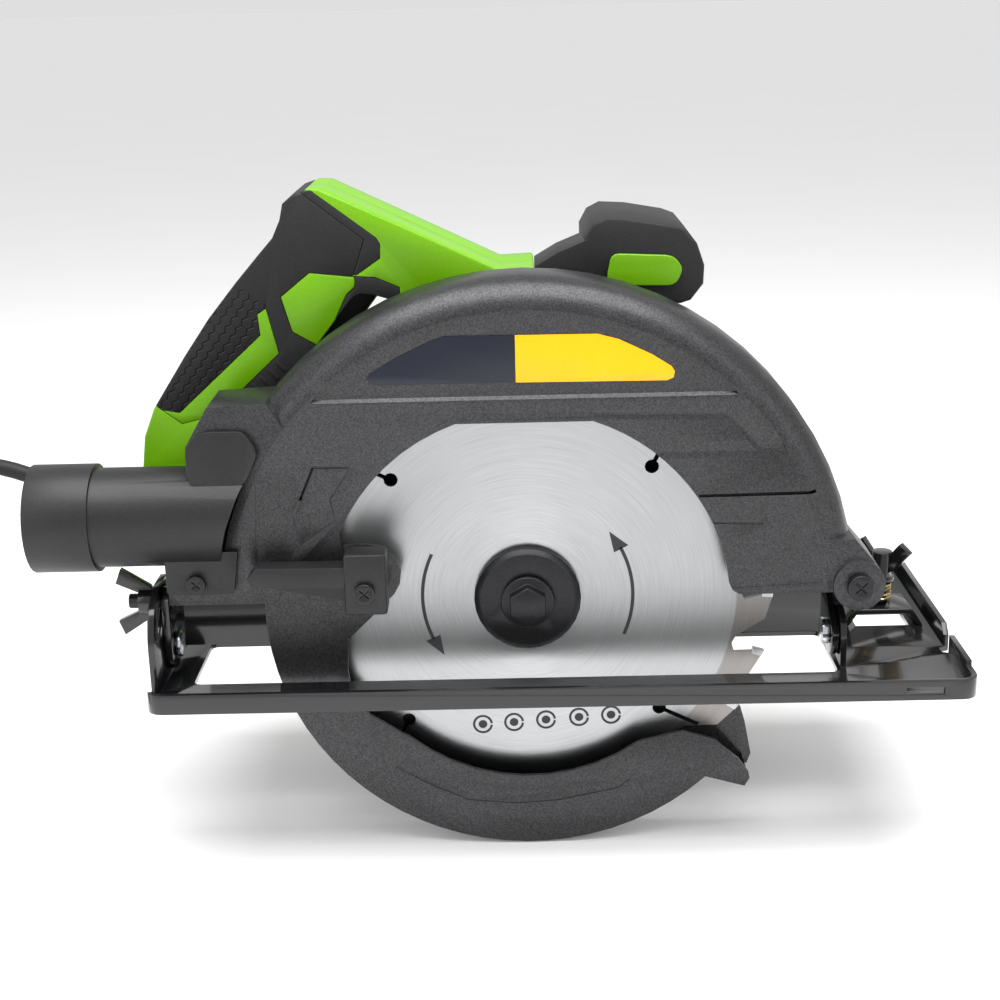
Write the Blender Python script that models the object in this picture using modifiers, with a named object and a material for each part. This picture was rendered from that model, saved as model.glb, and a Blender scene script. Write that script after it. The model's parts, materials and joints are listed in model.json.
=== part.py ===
"""Corded circular saw with a 185 mm blade, a tilting frame on a pressed steel shoe and a D handle.

Shapes are given in millimetres from the blade's centre: X forward, Y from the blade towards the
motor, Z up. The finished saw stands in metres with its origin on the sole, below the arbor.
"""

import math

import bmesh
import bpy
from mathutils import Matrix, Vector

mm = 0.001

# Driving dimensions, in millimetres
arbor_height = 29.5          # blade centre above the sole, saw set to its full depth
arbor_inset = 26.0           # blade plane behind the sole's reference point
gap = 0.3                    # clearance between neighbouring pieces

blade_radius = 92.5
blade_teeth = 24
blade_half = 0.9
bore_radius = 8.0

guard_radius = 121.5
guard_front = -14.0
guard_back = 14.0
guard_wall = 2.5
guard_bottom = 3.8
window_radius = 74.5
window_top = 70.3

lower_radius = 97.5
lower_front = -10.5
lower_back = 8.5
lower_wall = 1.5
nose_radius = 21.0

sole_z = -arbor_height
plate_thick = 2.0
shoe_rear, shoe_front = -139.0, 161.5
shoe_near, shoe_far = -37.4, 98.0
shoe_lip = 7.5
opening_x = (-125.5, 115.0)
opening_y = (-14.4, 27.5)

bevel_y, bevel_z = 0.0, -16.5
bevel_stud_reach = 17.5
depth_x, depth_z = 121.3, 6.8
depth_slot_radius = 172.0
depth_swing = 30.0

port_z, port_y = 35.8, -5.0
port_radius, port_collar = 18.4, 20.0
port_trim = 113.5

gear_module = 0.95
gear_teeth, pinion_teeth = 45, 9
motor_angle = math.radians(105)
motor_reach = gear_module * (gear_teeth + pinion_teeth) / 2
motor_x = motor_reach * math.cos(motor_angle)
motor_z = motor_reach * math.sin(motor_angle)
motor_radius = 45.5

handle_near, handle_far = 25.0, 65.0
handle_mid = (handle_near + handle_far) / 2

cord_radius = 3.25
cord_exit = (-141.5, handle_mid, 21.5)
floor_z = -lower_radius


# ---------------------------------------------------------------- scene and helpers

for old in list(bpy.data.objects):
    bpy.data.objects.remove(old, do_unlink=True)

parts = bpy.data.collections.new("Circular saw")
cutters = bpy.data.collections.new("Cutters")
cutters.hide_render = True
bpy.context.scene.collection.children.link(parts)
bpy.context.scene.collection.children.link(cutters)

looks = {
    "black_steel": ((0.012, 0.013, 0.015), 0.6, 0.25),
    "guard_grey": ((0.07, 0.07, 0.075), 0.3, 0.5),
    "port_plastic": ((0.035, 0.035, 0.038), 0.0, 0.5),
    "green_plastic": ((0.12, 0.42, 0.01), 0.0, 0.35),
    "black_rubber": ((0.02, 0.02, 0.022), 0.0, 0.7),
    "black_plastic": ((0.025, 0.025, 0.027), 0.0, 0.45),
    "brushed_steel": ((0.55, 0.55, 0.56), 1.0, 0.3),
    "black_oxide": ((0.03, 0.03, 0.032), 0.8, 0.4),
    "zinc": ((0.6, 0.6, 0.62), 1.0, 0.25),
    "spring_steel": ((0.3, 0.26, 0.18), 1.0, 0.35),
    "cast_alloy": ((0.4, 0.41, 0.42), 0.9, 0.5),
    "copper": ((0.7, 0.3, 0.15), 1.0, 0.35),
    "laminated_iron": ((0.3, 0.3, 0.31), 0.9, 0.5),
    "carbon": ((0.03, 0.03, 0.03), 0.2, 0.6),
}


def material(look):
    found = bpy.data.materials.get(look)
    if found:
        return found
    color, metallic, roughness = looks[look]
    made = bpy.data.materials.new(look)
    made.use_nodes = True
    shader = made.node_tree.nodes["Principled BSDF"]
    shader.inputs["Base Color"].default_value = (*color, 1.0)
    shader.inputs["Metallic"].default_value = metallic
    shader.inputs["Roughness"].default_value = roughness
    return made


def holder(mesh):
    """An object for a mesh in millimetres, kept aside until it is finished or used as a cutter."""
    obj = bpy.data.objects.new("shape", mesh)
    cutters.objects.link(obj)
    obj.hide_render = True
    obj.display_type = "WIRE"
    return obj


def settled(obj):
    """The evaluated mesh of an object as a new object, its doubles merged and normals outward."""
    bpy.context.view_layer.update()
    graph = bpy.context.evaluated_depsgraph_get()
    mesh = bpy.data.meshes.new_from_object(obj.evaluated_get(graph))
    mesh.transform(obj.matrix_world)
    form = bmesh.new()
    form.from_mesh(mesh)
    bmesh.ops.remove_doubles(form, verts=form.verts, dist=1e-4)
    bmesh.ops.recalc_face_normals(form, faces=form.faces)
    form.to_mesh(mesh)
    form.free()
    bpy.data.objects.remove(obj)
    return holder(mesh)


def along(axis):
    """Turns local Z onto an axis: X keeps (y, z) as its plane, Y keeps (x, z), Z keeps (x, y)."""
    if axis == "X":
        return Matrix(((0, 0, 1, 0), (1, 0, 0, 0), (0, 1, 0, 0), (0, 0, 0, 1)))
    if axis == "Y":
        return Matrix(((1, 0, 0, 0), (0, 0, -1, 0), (0, 1, 0, 0), (0, 0, 0, 1)))
    return Matrix.Identity(4)


def box(x, y, z):
    """A block between the pairs of limits x, y and z."""
    form = bmesh.new()
    middle = Matrix.Translation((sum(x) / 2, sum(y) / 2, sum(z) / 2))
    size = Matrix.Diagonal((x[1] - x[0], y[1] - y[0], z[1] - z[0], 1))
    bmesh.ops.create_cube(form, size=1, matrix=middle @ size)
    mesh = bpy.data.meshes.new("block")
    form.to_mesh(mesh)
    form.free()
    return holder(mesh)


def rod(axis, centre, radius, span, sides=24, far_radius=None):
    """A cylinder or cone along an axis; centre holds the two other coordinates in their order."""
    form = bmesh.new()
    length = span[1] - span[0]
    end = radius if far_radius is None else far_radius
    bmesh.ops.create_cone(
        form, cap_ends=True, segments=sides, radius1=radius, radius2=end, depth=length
    )
    middle = (span[0] + span[1]) / 2
    if axis == "X":
        turn = Matrix.Rotation(math.radians(90), 4, "Y")
        place = (middle, centre[0], centre[1])
    elif axis == "Y":
        turn = Matrix.Rotation(math.radians(-90), 4, "X")
        place = (centre[0], middle, centre[1])
    else:
        turn = Matrix.Identity(4)
        place = (centre[0], centre[1], middle)
    form.transform(Matrix.Translation(place) @ turn)
    mesh = bpy.data.meshes.new("rod")
    form.to_mesh(mesh)
    form.free()
    return holder(mesh)


def prism(axis, outlines, span):
    """Flat outlines, the later ones holes in the first, drawn out along an axis."""
    curve = bpy.data.curves.new("outline", "CURVE")
    curve.dimensions = "2D"
    curve.fill_mode = "BOTH"
    curve.extrude = (span[1] - span[0]) / 2
    for outline in outlines:
        spline = curve.splines.new("POLY")
        spline.points.add(len(outline) - 1)
        for point, (u, v) in zip(spline.points, outline):
            point.co = (u, v, 0, 1)
        spline.use_cyclic_u = True
    obj = holder(curve)
    shift = {"X": (1, 0, 0), "Y": (0, 1, 0), "Z": (0, 0, 1)}[axis]
    middle = Vector(shift) * (span[0] + span[1]) / 2
    obj.matrix_world = Matrix.Translation(middle) @ along(axis)
    return settled(obj)


def turned(axis, centre, profile, sides=32):
    """A closed profile of (radius, place along the axis) turned once about the axis."""
    mesh = bpy.data.meshes.new("profile")
    form = bmesh.new()
    corners = [form.verts.new((radius, 0, place)) for radius, place in profile]
    for first, second in zip(corners, corners[1:] + corners[:1]):
        if first.co.x > 1e-6 or second.co.x > 1e-6:
            form.edges.new((first, second))
    form.to_mesh(mesh)
    form.free()
    obj = holder(mesh)
    screw = obj.modifiers.new("Turn", "SCREW")
    screw.steps = sides
    screw.render_steps = sides
    screw.use_merge_vertices = True
    screw.merge_threshold = 1e-4
    if axis == "X":
        turn = Matrix.Rotation(math.radians(90), 4, "Y")
        place = (0, centre[0], centre[1])
    elif axis == "Y":
        turn = Matrix.Rotation(math.radians(-90), 4, "X")
        place = (centre[0], 0, centre[1])
    else:
        turn = Matrix.Identity(4)
        place = (centre[0], centre[1], 0)
    obj.matrix_world = Matrix.Translation(place) @ turn
    return settled(obj)


def wire(points, radius, resolution=2):
    """A round rod along a run of points, with flat ends."""
    curve = bpy.data.curves.new("wire", "CURVE")
    curve.dimensions = "3D"
    curve.bevel_depth = radius
    curve.bevel_resolution = resolution
    curve.use_fill_caps = True
    spline = curve.splines.new("POLY")
    spline.points.add(len(points) - 1)
    for point, place in zip(spline.points, points):
        point.co = (*place, 1)
    return settled(holder(curve))


def boolean(obj, other, operation):
    change = obj.modifiers.new(operation.title(), "BOOLEAN")
    change.operation = operation
    change.object = other
    change.solver = "EXACT"


def cut(obj, *others):
    for other in others:
        boolean(obj, other, "DIFFERENCE")
    return obj


def join(obj, *others):
    for other in others:
        boolean(obj, other, "UNION")
    return obj


def common(obj, other):
    boolean(obj, other, "INTERSECT")
    return obj


def soften(obj, width, steps=2, angle=40):
    edge = obj.modifiers.new("Rounded edges", "BEVEL")
    edge.width = width
    edge.segments = steps
    edge.limit_method = "ANGLE"
    edge.angle_limit = math.radians(angle)
    edge.use_clamp_overlap = True
    return obj


def finish(obj, name, look, pivot=(0, 0, 0)):
    """Names a shape, gives it its material and puts its origin on the pivot, in metres."""
    obj = settled(obj)
    place = Vector(pivot)
    obj.data.transform(Matrix.Scale(mm, 4) @ Matrix.Translation(-place))
    obj.location = (place + Vector((0, arbor_inset, arbor_height))) * mm
    obj.name = name
    obj.data.name = name
    obj.data.materials.clear()
    obj.data.materials.append(material(look))
    obj.data.shade_smooth()
    obj.data.set_sharp_from_angle(angle=math.radians(35))
    cutters.objects.unlink(obj)
    parts.objects.link(obj)
    obj.hide_render = False
    obj.display_type = "TEXTURED"
    return obj


def arc(centre, radius, start, end, steps):
    """Points on a circle from one angle to another, in degrees."""
    made = []
    for step in range(steps + 1):
        angle = math.radians(start + (end - start) * step / steps)
        made.append((centre[0] + radius * math.cos(angle), centre[1] + radius * math.sin(angle)))
    return made


def polar(radius, angle):
    angle = math.radians(angle)
    return (radius * math.cos(angle), radius * math.sin(angle))


def rounded(points, radius, steps=3):
    """An outline with each corner replaced by a short curve."""
    made = []
    for index, corner in enumerate(points):
        corner = Vector(corner)
        before = Vector(points[index - 1]) - corner
        after = Vector(points[(index + 1) % len(points)]) - corner
        reach = min(radius, before.length * 0.45, after.length * 0.45)
        first = corner + before.normalized() * reach
        last = corner + after.normalized() * reach
        for step in range(steps + 1):
            t = step / steps
            spot = first * (1 - t) ** 2 + corner * 2 * t * (1 - t) + last * t**2
            made.append((spot.x, spot.y))
    return made


def hexagon(centre, across, turn=0.0):
    return [
        (
            centre[0] + across / math.sqrt(3) * math.cos(math.radians(60 * k + turn)),
            centre[1] + across / math.sqrt(3) * math.sin(math.radians(60 * k + turn)),
        )
        for k in range(6)
    ]


# ---------------------------------------------------------------- blade and spindle

def saw_blade():
    outline = []
    pitch = 360 / blade_teeth
    for tooth in range(blade_teeth):
        tip = -tooth * pitch
        outline.append(polar(blade_radius, tip))
        outline.append(polar(blade_radius - 2.5, tip - 7))
        outline.append(polar(80.5, tip - 12.6))
        outline.append(polar(79.6, tip - 15))
        outline.append(polar(81.5, tip - pitch - 2.2))
    blade = prism("Y", [outline, arc((0, 0), bore_radius, 0, 345, 23)], (-blade_half, blade_half))
    for k in range(4):
        # An expansion slot runs in from a gullet to a round hole
        hole = polar(68, 46.8 + 90 * k)
        mouth = polar(84, 50.2 + 90 * k)
        side = Vector((mouth[1] - hole[1], hole[0] - mouth[0])).normalized() * 0.8
        corners = [
            (hole[0] + side.x, hole[1] + side.y),
            (mouth[0] + side.x, mouth[1] + side.y),
            (mouth[0] - side.x, mouth[1] - side.y),
            (hole[0] - side.x, hole[1] - side.y),
        ]
        cut(blade, prism("Y", [corners], (-3, 3)), rod("Y", hole, 2.65, (-3, 3), 12))
    return finish(blade, "saw_blade", "brushed_steel")


def gear_outline(teeth, centre, phase):
    """A straight-sided spur gear with a little backlash; phase is the first tooth's angle."""
    pitch_radius = gear_module * teeth / 2
    root = pitch_radius - 1.15 * gear_module
    tip = pitch_radius + 0.8 * gear_module
    root_half = math.degrees(0.62 * gear_module / pitch_radius)
    if teeth == pinion_teeth:
        root_half = math.degrees(0.70 * gear_module / pitch_radius)
    tip_half = math.degrees(0.28 * gear_module / pitch_radius)
    points = []
    for tooth in range(teeth):
        middle = phase + 360 * tooth / teeth
        for radius, turn in ((root, -root_half), (tip, -tip_half), (tip, tip_half), (root, root_half)):
            x, z = polar(radius, middle + turn)
            points.append((centre[0] + x, centre[1] + z))
    return points


def spindle_set():
    flange = [
        (bore_radius, -1.25), (bore_radius, -4.2), (5.0, -4.2), (5.0, -5.9),
        (17.85, -5.9), (20.0, -4.0), (20.0, -1.25),
    ]
    finish(turned("Y", (0, 0), flange, 28), "outer_flange", "black_oxide")

    inner = [(bore_radius, 1.25), (20.0, 1.25), (20.0, 4.4), (18.0, 5.6), (bore_radius, 5.6)]
    finish(turned("Y", (0, 0), inner, 32), "inner_flange", "black_oxide")

    bolt = prism("Y", [hexagon((0, 0), 13.0, 30)], (-13.2, -8.2))
    washer = rod("Y", (0, 0), 10.0, (-8.4, -6.2), 28)
    shank = rod("Y", (0, 0), 4.0, (-6.5, 16.0), 16)
    finish(join(bolt, washer, shank), "blade_bolt", "black_oxide")

    spindle_profile = [
        (0, 46.0), (0, 18.0), (4.3, 16.6), (4.3, -0.8), (7.7, -0.8), (7.7, 20.0),
        (6.7, 20.0), (6.7, 37.0), (5.0, 37.0), (5.0, 46.0),
    ]
    finish(turned("Y", (0, 0), spindle_profile, 20), "spindle", "zinc")

    wheel = prism(
        "Y",
        [gear_outline(gear_teeth, (0, 0), 0), arc((0, 0), 7.0, 0, 345, 23)],
        (23.0, 33.0),
    )
    finish(wheel, "spindle_gear", "zinc")


def ring(axis, centre, inner, outer, span, sides=28):
    profile = [(inner, span[0]), (inner, span[1]), (outer, span[1]), (outer, span[0])]
    return turned(axis, centre, profile, sides)


# ---------------------------------------------------------------- guards

def upper_guard():
    outer = [
        (0, guard_front), (110.5, guard_front), (115.6, guard_front + 1.9), (119.4, guard_front + 5.4),
        (guard_radius, guard_front + 11), (guard_radius, guard_back), (0, guard_back),
    ]
    guard = turned("Y", (0, 0), outer, 60)
    cut(guard, box((-130, 130), (-20, 20), (-130, guard_bottom - 1)))
    shoulder = [
        (-132, 0), (-132, 21), (-122.5, 40), (-121.6, 64), (-113, 78.4), (-92, 79.5), (-80, 60), (-95, 0),
    ]
    web = [(100, 2), (121, 2), (127, 15), (119.5, 24), (100, 24)]
    join(guard, prism("Y", [shoulder], (guard_front + 0.1, guard_back - 0.1)))
    join(guard, prism("Y", [web], (guard_front + 0.2, guard_back - 0.2)))
    cut(guard, box((-140, depth_x - 7.8), (-20, 20), (-130, guard_bottom)))
    join(guard, rod("Y", (depth_x, depth_z), 9.5, (guard_front - 2, guard_back - 0.3), 28))
    inner = [
        (0, guard_front + guard_wall), (110, guard_front + guard_wall), (115.5, guard_front + 4.6),
        (118.4, guard_front + 11.5), (118.4, guard_back - guard_wall), (0, guard_back - guard_wall),
    ]
    cavity = turned("Y", (0, 0), inner, 60)
    keep = rod("Y", (depth_x, depth_z), 9.0, (-30, 30), 22)
    cut(cavity, settled(keep))
    cut(guard, settled(cavity))
    flat = math.degrees(math.asin(window_top / window_radius))
    window = (
        [(-67.3, -9), (-67.3, 21)]
        + arc((0, 0), window_radius, 156, 180 - flat, 8)
        + arc((0, 0), window_radius, flat, 6, 14)
        + [(75.2, 5.4), (77.4, 4.0), (81, guard_bottom - 0.4), (81, -9)]
    )
    cut(guard, prism("Y", [window], (-20, 0)))
    cut(guard, rod("Y", (0, 0), nose_radius + 0.5, (0, 20), 32))
    cut(guard, port_tube(port_radius + gap, port_trim - gap, (-140, -90)))
    cut(guard, rod("Y", (depth_x, depth_z), 3.3, (-20, 20), 16))
    cut(guard, rod("Y", (depth_x - depth_slot_radius, depth_z), 3.1, (5, 20), 16))
    cut(guard, rod("Y", (-120.8, 13.3), 1.9, (-20, -6), 12))
    return finish(guard, "upper_guard", "guard_grey")


def port_tube(radius, trim, span):
    """The dust tube's round body, ended by a curve about the blade's axis."""
    tube = rod("X", (port_y, port_z), radius, span, 32)
    return settled(cut(tube, rod("Y", (0, 0), trim, (-40, 40), 60)))


def dust_port():
    port = port_tube(port_radius, port_trim, (-158.5, -90))
    collar = rod("X", (port_y, port_z), port_collar, (-180.4, -157), 32)
    foot = prism("Y", [rounded([(-132, 8.8), (-132, 26), (-105, 26), (-107.5, 8.8)], 1.5)], (-16.6, -14.3))
    brow = [(-121, 50), (-121.5, 64), (-116, 70), (-100, 70), (-95.4, 62), (-101, 50)]
    hood = prism("Y", [rounded(brow, 3)], (-16.4, -14.3))
    join(port, collar, foot, hood)
    cut(port, rod("X", (port_y, port_z), 15.8, (-190, -80), 24))
    cut(port, rod("X", (port_y, port_z), 18.0, (-190, -158), 28))
    cut(port, rod("Y", (-120.8, 13.3), 1.9, (-20, -10), 12))
    finish(port, "dust_port", "port_plastic")
    screw = join(rod("Y", (-120.8, 13.3), 3.3, (-19.0, -16.9), 20), rod("Y", (-120.8, 13.3), 1.6, (-17.5, -8), 12))
    finish(screw, "dust_port_screw", "black_oxide")


def lower_guard():
    start, end = -47.0, -195.0
    nose = [(81.5, -75.6), (83.4, -72.3), (82.9, -69.7), (79, -64.2), (70, -56), (57.8, -52.2)]
    arm = [(-60.6, -43.1), (-66.9, -32.7), (-68, -24.5), (-67, -12.1), (-57.6, -3.1), (-50.2, 4.4)]
    front = (
        arc((0, 0), lower_radius, end, start, 30)
        + nose
        + arc((0, 0), 69.6, -54, -131, 10)
        + arm
        + arc((-58.5, 13), 12, -40, 90, 6)
    )
    guard = prism("Y", [front], (lower_front, lower_front + lower_wall))
    back_nose = [(84.6, -74.5), (86.1, -70.2), (83.5, -56.4), (81.8, -50.5)]
    back = arc((0, 0), lower_radius, end, start, 30) + back_nose + arc((0, 0), 30, -15, 140, 8)
    join(guard, prism("Y", [back], (lower_back - lower_wall, lower_back)))
    lip = [(81.2, -75.1), (83.1, -72.2), (82.6, -70.2), (81.3, -71.6), (80.4, -73.3)]
    band = (
        arc((0, 0), lower_radius - 0.15, end + 0.5, start, 30)
        + lip
        + arc((0, 0), lower_radius - 1.9, start, end + 0.5, 30)
    )
    join(guard, prism("Y", [band], (lower_front + 0.2, lower_back - 0.2)))
    cut(guard, rod("Y", (0, 0), nose_radius + 0.5, (0, 20), 32))
    cut(guard, rod("Y", (-58.5, 12.4), 1.9, (-20, -5), 12))
    return finish(guard, "lower_guard", "guard_grey")


def guard_lever():
    """The retracting lever: a block standing in the window with an arm reaching back."""
    block = soften(box((-65.8, -50.6), (-28, -16.6), (3.6, 26.6)), 1.2, 2)
    block = settled(block)
    neck = rod("Y", (-58.5, 13), 7.2, (-18, lower_front - gap), 20)
    arm = [(-66, 14), (-99, 14.6), (-100.7, 18), (-97.5, 21.7), (-64, 21.6)]
    web = [(-64, 7), (-64, 16), (-96, 16), (-95.2, 13.2)]
    lever = join(block, neck, prism("Y", [arm], (-27, -18.4)), prism("Y", [web], (-22.5, -18.4)))
    cut(lever, rod("Y", (-58.5, 12.4), 1.9, (-40, -5), 12))
    finish(lever, "guard_lever", "port_plastic")
    head = rod("Y", (-58.5, 12.4), 3.75, (-30.0, -28.3), 20)
    screw = join(head, rod("Y", (-58.5, 12.4), 1.6, (-29, -9.3), 12))
    finish(screw, "guard_lever_screw", "black_oxide")


def guard_spring():
    """A flat torsion spring coiled between the lower guard's hub and the upper guard's wall."""
    points = []
    for step in range(27):
        angle = math.radians(360 * 1.9 * step / 26)
        reach = 23.4 + 2.6 * step / 26
        points.append((reach * math.cos(angle), 9.9, reach * math.sin(angle)))
    finish(wire(points, 0.55, 1), "guard_spring", "spring_steel")


# ---------------------------------------------------------------- gear case and motor

def gear_case():
    case = rod("Y", (0, 0), 25.5, (guard_back + gap, 40), 28)
    nose = rod("Y", (0, 0), nose_radius, (6.6, guard_back + 1), 28)
    pinion_bay = rod("Y", (motor_x, motor_z), 11, (guard_back + gap, 40), 24)
    cover = rod("Y", (motor_x, motor_z), motor_radius, (37.5, 52.0), 40)
    join(case, nose, pinion_bay, cover)
    cut(case, rod("Y", (0, 0), 16.3, (5, 16.3), 24))
    cut(case, rod("Y", (0, 0), 22.8, (20.5, 36), 28))
    cut(case, rod("Y", (0, 0), 9.0, (10, 30), 20))
    cut(case, rod("Y", (0, 0), 11.3, (30, 46.5), 20))
    cut(case, rod("Y", (motor_x, motor_z), 6.4, (20.5, 60), 16))
    cut(case, rod("Y", (motor_x, motor_z), 13.3, (43.7, 60), 20))
    lock = rod("X", (45, motor_z), 4.6, (motor_x + 33, motor_x + 50), 20)
    cut(case, lock)
    finish(case, "gear_case", "cast_alloy")
    for name, centre, inner, outer, span in (
        ("spindle_bearing_front", (0, 0), 8.0, 16.0, (7.4, 16.0)),
        ("spindle_bearing_rear", (0, 0), 5.3, 11.0, (38.2, 45.2)),
        ("armature_bearing_front", (motor_x, motor_z), 4.8, 13.0, (44.2, 51.2)),
        ("armature_bearing_rear", (motor_x, motor_z), 4.3, 9.7, (160.2, 167.2)),
    ):
        finish(ring("Y", centre, inner, outer, span, 24), name, "zinc")
    button = rod("X", (45, motor_z), 4.2, (motor_x + 37, motor_x + 49.5), 20)
    finish(soften(button, 0.8, 2), "spindle_lock_button", "black_plastic", (motor_x + 42, 45, motor_z))


def motor():
    centre = (motor_x, motor_z)
    housing = ring("Y", centre, motor_radius - 3, motor_radius, (52.3, 140), 40)
    finish(housing, "motor_housing", "green_plastic", (motor_x, 96, motor_z))

    cap = [
        (motor_radius, 140.3), (motor_radius, 160), (42, 172), (34, 180), (0, 182),
        (0, 178.5), (9, 178.5), (10, 170), (10, 158), (13, 158), (13, 174),
        (32, 176.5), (39, 169.5), (motor_radius - 3, 159), (motor_radius - 3, 140.3),
    ]
    end_cap = turned("Y", centre, cap, 28)
    for k in range(2):
        side = 1 - 2 * k
        span = sorted((motor_x + side * 30, motor_x + side * 60))
        cut(end_cap, rod("X", (148, motor_z), 7.3, span, 20))
    finish(end_cap, "motor_end_cap", "black_plastic", (motor_x, 160, motor_z))

    for k, name in enumerate(("front", "rear")):
        side = 1 - 2 * k
        span = sorted((motor_x + side * 40.5, motor_x + side * 46.5))
        finish(soften(rod("X", (148, motor_z), 7.0, span, 20), 0.6, 1), f"brush_cap_{name}", "black_plastic")
        span = sorted((motor_x + side * 13.3, motor_x + side * 39.5))
        brush = box(span, (144.5, 151.5), (motor_z - 3.5, motor_z + 3.5))
        finish(brush, f"carbon_brush_{name}", "carbon")

    stator = ring("Y", centre, 25, 41.8, (74, 128), 28)
    finish(stator, "stator", "laminated_iron")

    shaft = prism("Y", [gear_outline(pinion_teeth, centre, motor_phase())], (22.5, 34.0))
    join(shaft, rod("Y", centre, 3.4, (33, 46), 16), rod("Y", centre, 4.5, (44.2, 158), 16))
    join(shaft, rod("Y", centre, 4.0, (157, 168.5), 16))
    finish(shaft, "armature_shaft", "zinc", (motor_x, 96, motor_z))
    core = turned(
        "Y", centre,
        [(4.8, 70), (14, 70), (19, 74), (22.5, 76), (22.5, 126), (19, 128), (14, 131.5), (4.8, 131.5)],
        24,
    )
    finish(core, "armature_core", "copper", (motor_x, 96, motor_z))
    finish(ring("Y", centre, 4.8, 13.0, (134, 155), 28), "commutator", "copper", (motor_x, 96, motor_z))
    fan = turned(
        "Y", centre,
        [(4.8, 56), (36, 56), (36, 58), (10, 58), (10, 67), (4.8, 67)],
        24,
    )
    for k in range(10):
        turn = Matrix.Translation((motor_x, 0, motor_z)) @ Matrix.Rotation(math.radians(36 * k + 5), 4, "Y")
        vane = box((9, 35), (57.5, 66), (-0.9, 0.9))
        vane.data.transform(turn)
        join(fan, vane)
    finish(fan, "cooling_fan", "black_plastic", (motor_x, 96, motor_z))


def motor_phase():
    """The pinion's first tooth angle that puts a gap opposite a gear tooth."""
    toward = math.degrees(motor_angle)
    pitch = 360 / gear_teeth
    offset = (toward + pitch / 2) % pitch - pitch / 2
    gap_angle = toward + 180 + offset * gear_teeth / pinion_teeth
    return gap_angle + 180 / pinion_teeth


# ---------------------------------------------------------------- handles

grip_foot = Vector((-139.0, 71.0))
grip_along = Vector((0.613, 0.790)).normalized()
grip_inward = Vector((grip_along.y, -grip_along.x))


def grip_point(reach, depth):
    spot = grip_foot + grip_along * reach + grip_inward * depth
    return (spot.x, spot.y)


def grip_block(reach, depth, y):
    """A block square to the grip, by its reach along it and its depth from the back."""
    corners = [
        grip_point(reach[0], depth[0]), grip_point(reach[1], depth[0]),
        grip_point(reach[1], depth[1]), grip_point(reach[0], depth[1]),
    ]
    return prism("Y", [corners], y)


def handle_outline():
    return [
        (-137.5, 15), (-142.5, 30), (-146.6, 46), (-145, 58), (-140.5, 69), (-127.2, 89), (-117.2, 103),
        (-106.2, 116.2), (-97, 126.5), (-91.5, 132.5), (-88.4, 139), (-87, 145), (-82.9, 148.2),
        (-77, 150.2), (-72, 150), (-45, 137), (-8, 119), (5, 119.5), (5, 97), (24, 76), (30, 40),
        (-60, 8), (-126, 12),
    ]


def hand_hole():
    corners = [
        grip_point(80.5, 36), grip_point(84.5, 46), (-24, 101), (-22, 84), (-44, 58), (-74, 40),
        (-104, 42), grip_point(0, 36),
    ]
    return rounded(corners, 8)


def grip_region(inset):
    """The rubber-covered stretch of the handle, from heel to head."""
    return [
        grip_point(-1 + inset, -20), grip_point(-1 + inset, 12), grip_point(9 + inset, 20),
        grip_point(9 + inset, 60), (-45 - inset, 90), (-45 - inset, 113.5 - inset),
        (-54, 117.5 - inset), (-62.2 - inset, 118 - inset), (-57.4 - inset, 131.5),
        (-80.3 - inset, 149.4), (-95, 160),
    ]


def handle():
    core = (-4, 101)
    lock_spot = grip_point(66, 20)
    for name, span, core_span in (
        ("handle_shell_near", (handle_near, handle_mid - gap / 2), (handle_near + 5, handle_mid - gap)),
        ("handle_shell_far", (handle_mid + gap / 2, handle_far), (handle_mid + gap, handle_far - 5)),
    ):
        shell = soften(prism("Y", [handle_outline()], span), 5, 2, 60)
        shell = settled(shell)
        cut(shell, prism("Y", [hand_hole()], (0, 90)))
        cut(shell, prism("Y", [grip_region(0)], (0, 90)))
        join(shell, grip_block(core, (7, 29), core_span))
        cut(shell, rod("Y", (motor_x, motor_z), motor_radius + gap, (0, 90), 48))
        cut(shell, grip_block((44, 86), (14, 60), (handle_mid - 9, handle_mid + 9)))
        bore = rod("Z", (0, 0), 4.6, (-15, 8), 20)
        bore.data.transform(cord_frame())
        cut(shell, bore)
        if "far" in name:
            cut(shell, rod("Y", lock_spot, 5.3, (handle_mid + 8, 80), 20))
        finish(shell, name, "green_plastic")

    grip = soften(prism("Y", [handle_outline()], (handle_near, handle_far)), 6, 3, 60)
    grip = settled(grip)
    cut(grip, prism("Y", [hand_hole()], (0, 90)))
    common(grip, prism("Y", [grip_region(gap)], (0, 90)))
    sleeve = grip_block((core[0] - gap, core[1] + gap), (7 - gap, 29 + gap), (handle_near + 5 - gap, handle_far - 5 + gap))
    cut(grip, sleeve)
    cut(grip, grip_block((43, 87), (20, 70), (handle_mid - 9, handle_mid + 9)))
    cut(grip, rod("Y", lock_spot, 5.3, (handle_mid + 8, 80), 20))
    finish(grip, "grip_overmold", "black_rubber")

    middle = grip_point(60, 30)
    trigger = soften(grip_block((46, 83), (27, 44), (handle_mid - 8, handle_mid + 8)), 2.5, 2)
    finish(trigger, "trigger", "black_plastic", (middle[0], handle_mid, middle[1]))
    switch = grip_block((46, 74), (15, 21), (handle_mid - 8, handle_mid + 8))
    finish(switch, "switch_body", "black_plastic")
    button = soften(rod("Y", lock_spot, 5.0, (57, 67.5), 20), 0.8, 2)
    finish(button, "lock_off_button", "black_plastic", (lock_spot[0], handle_far, lock_spot[1]))


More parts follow.
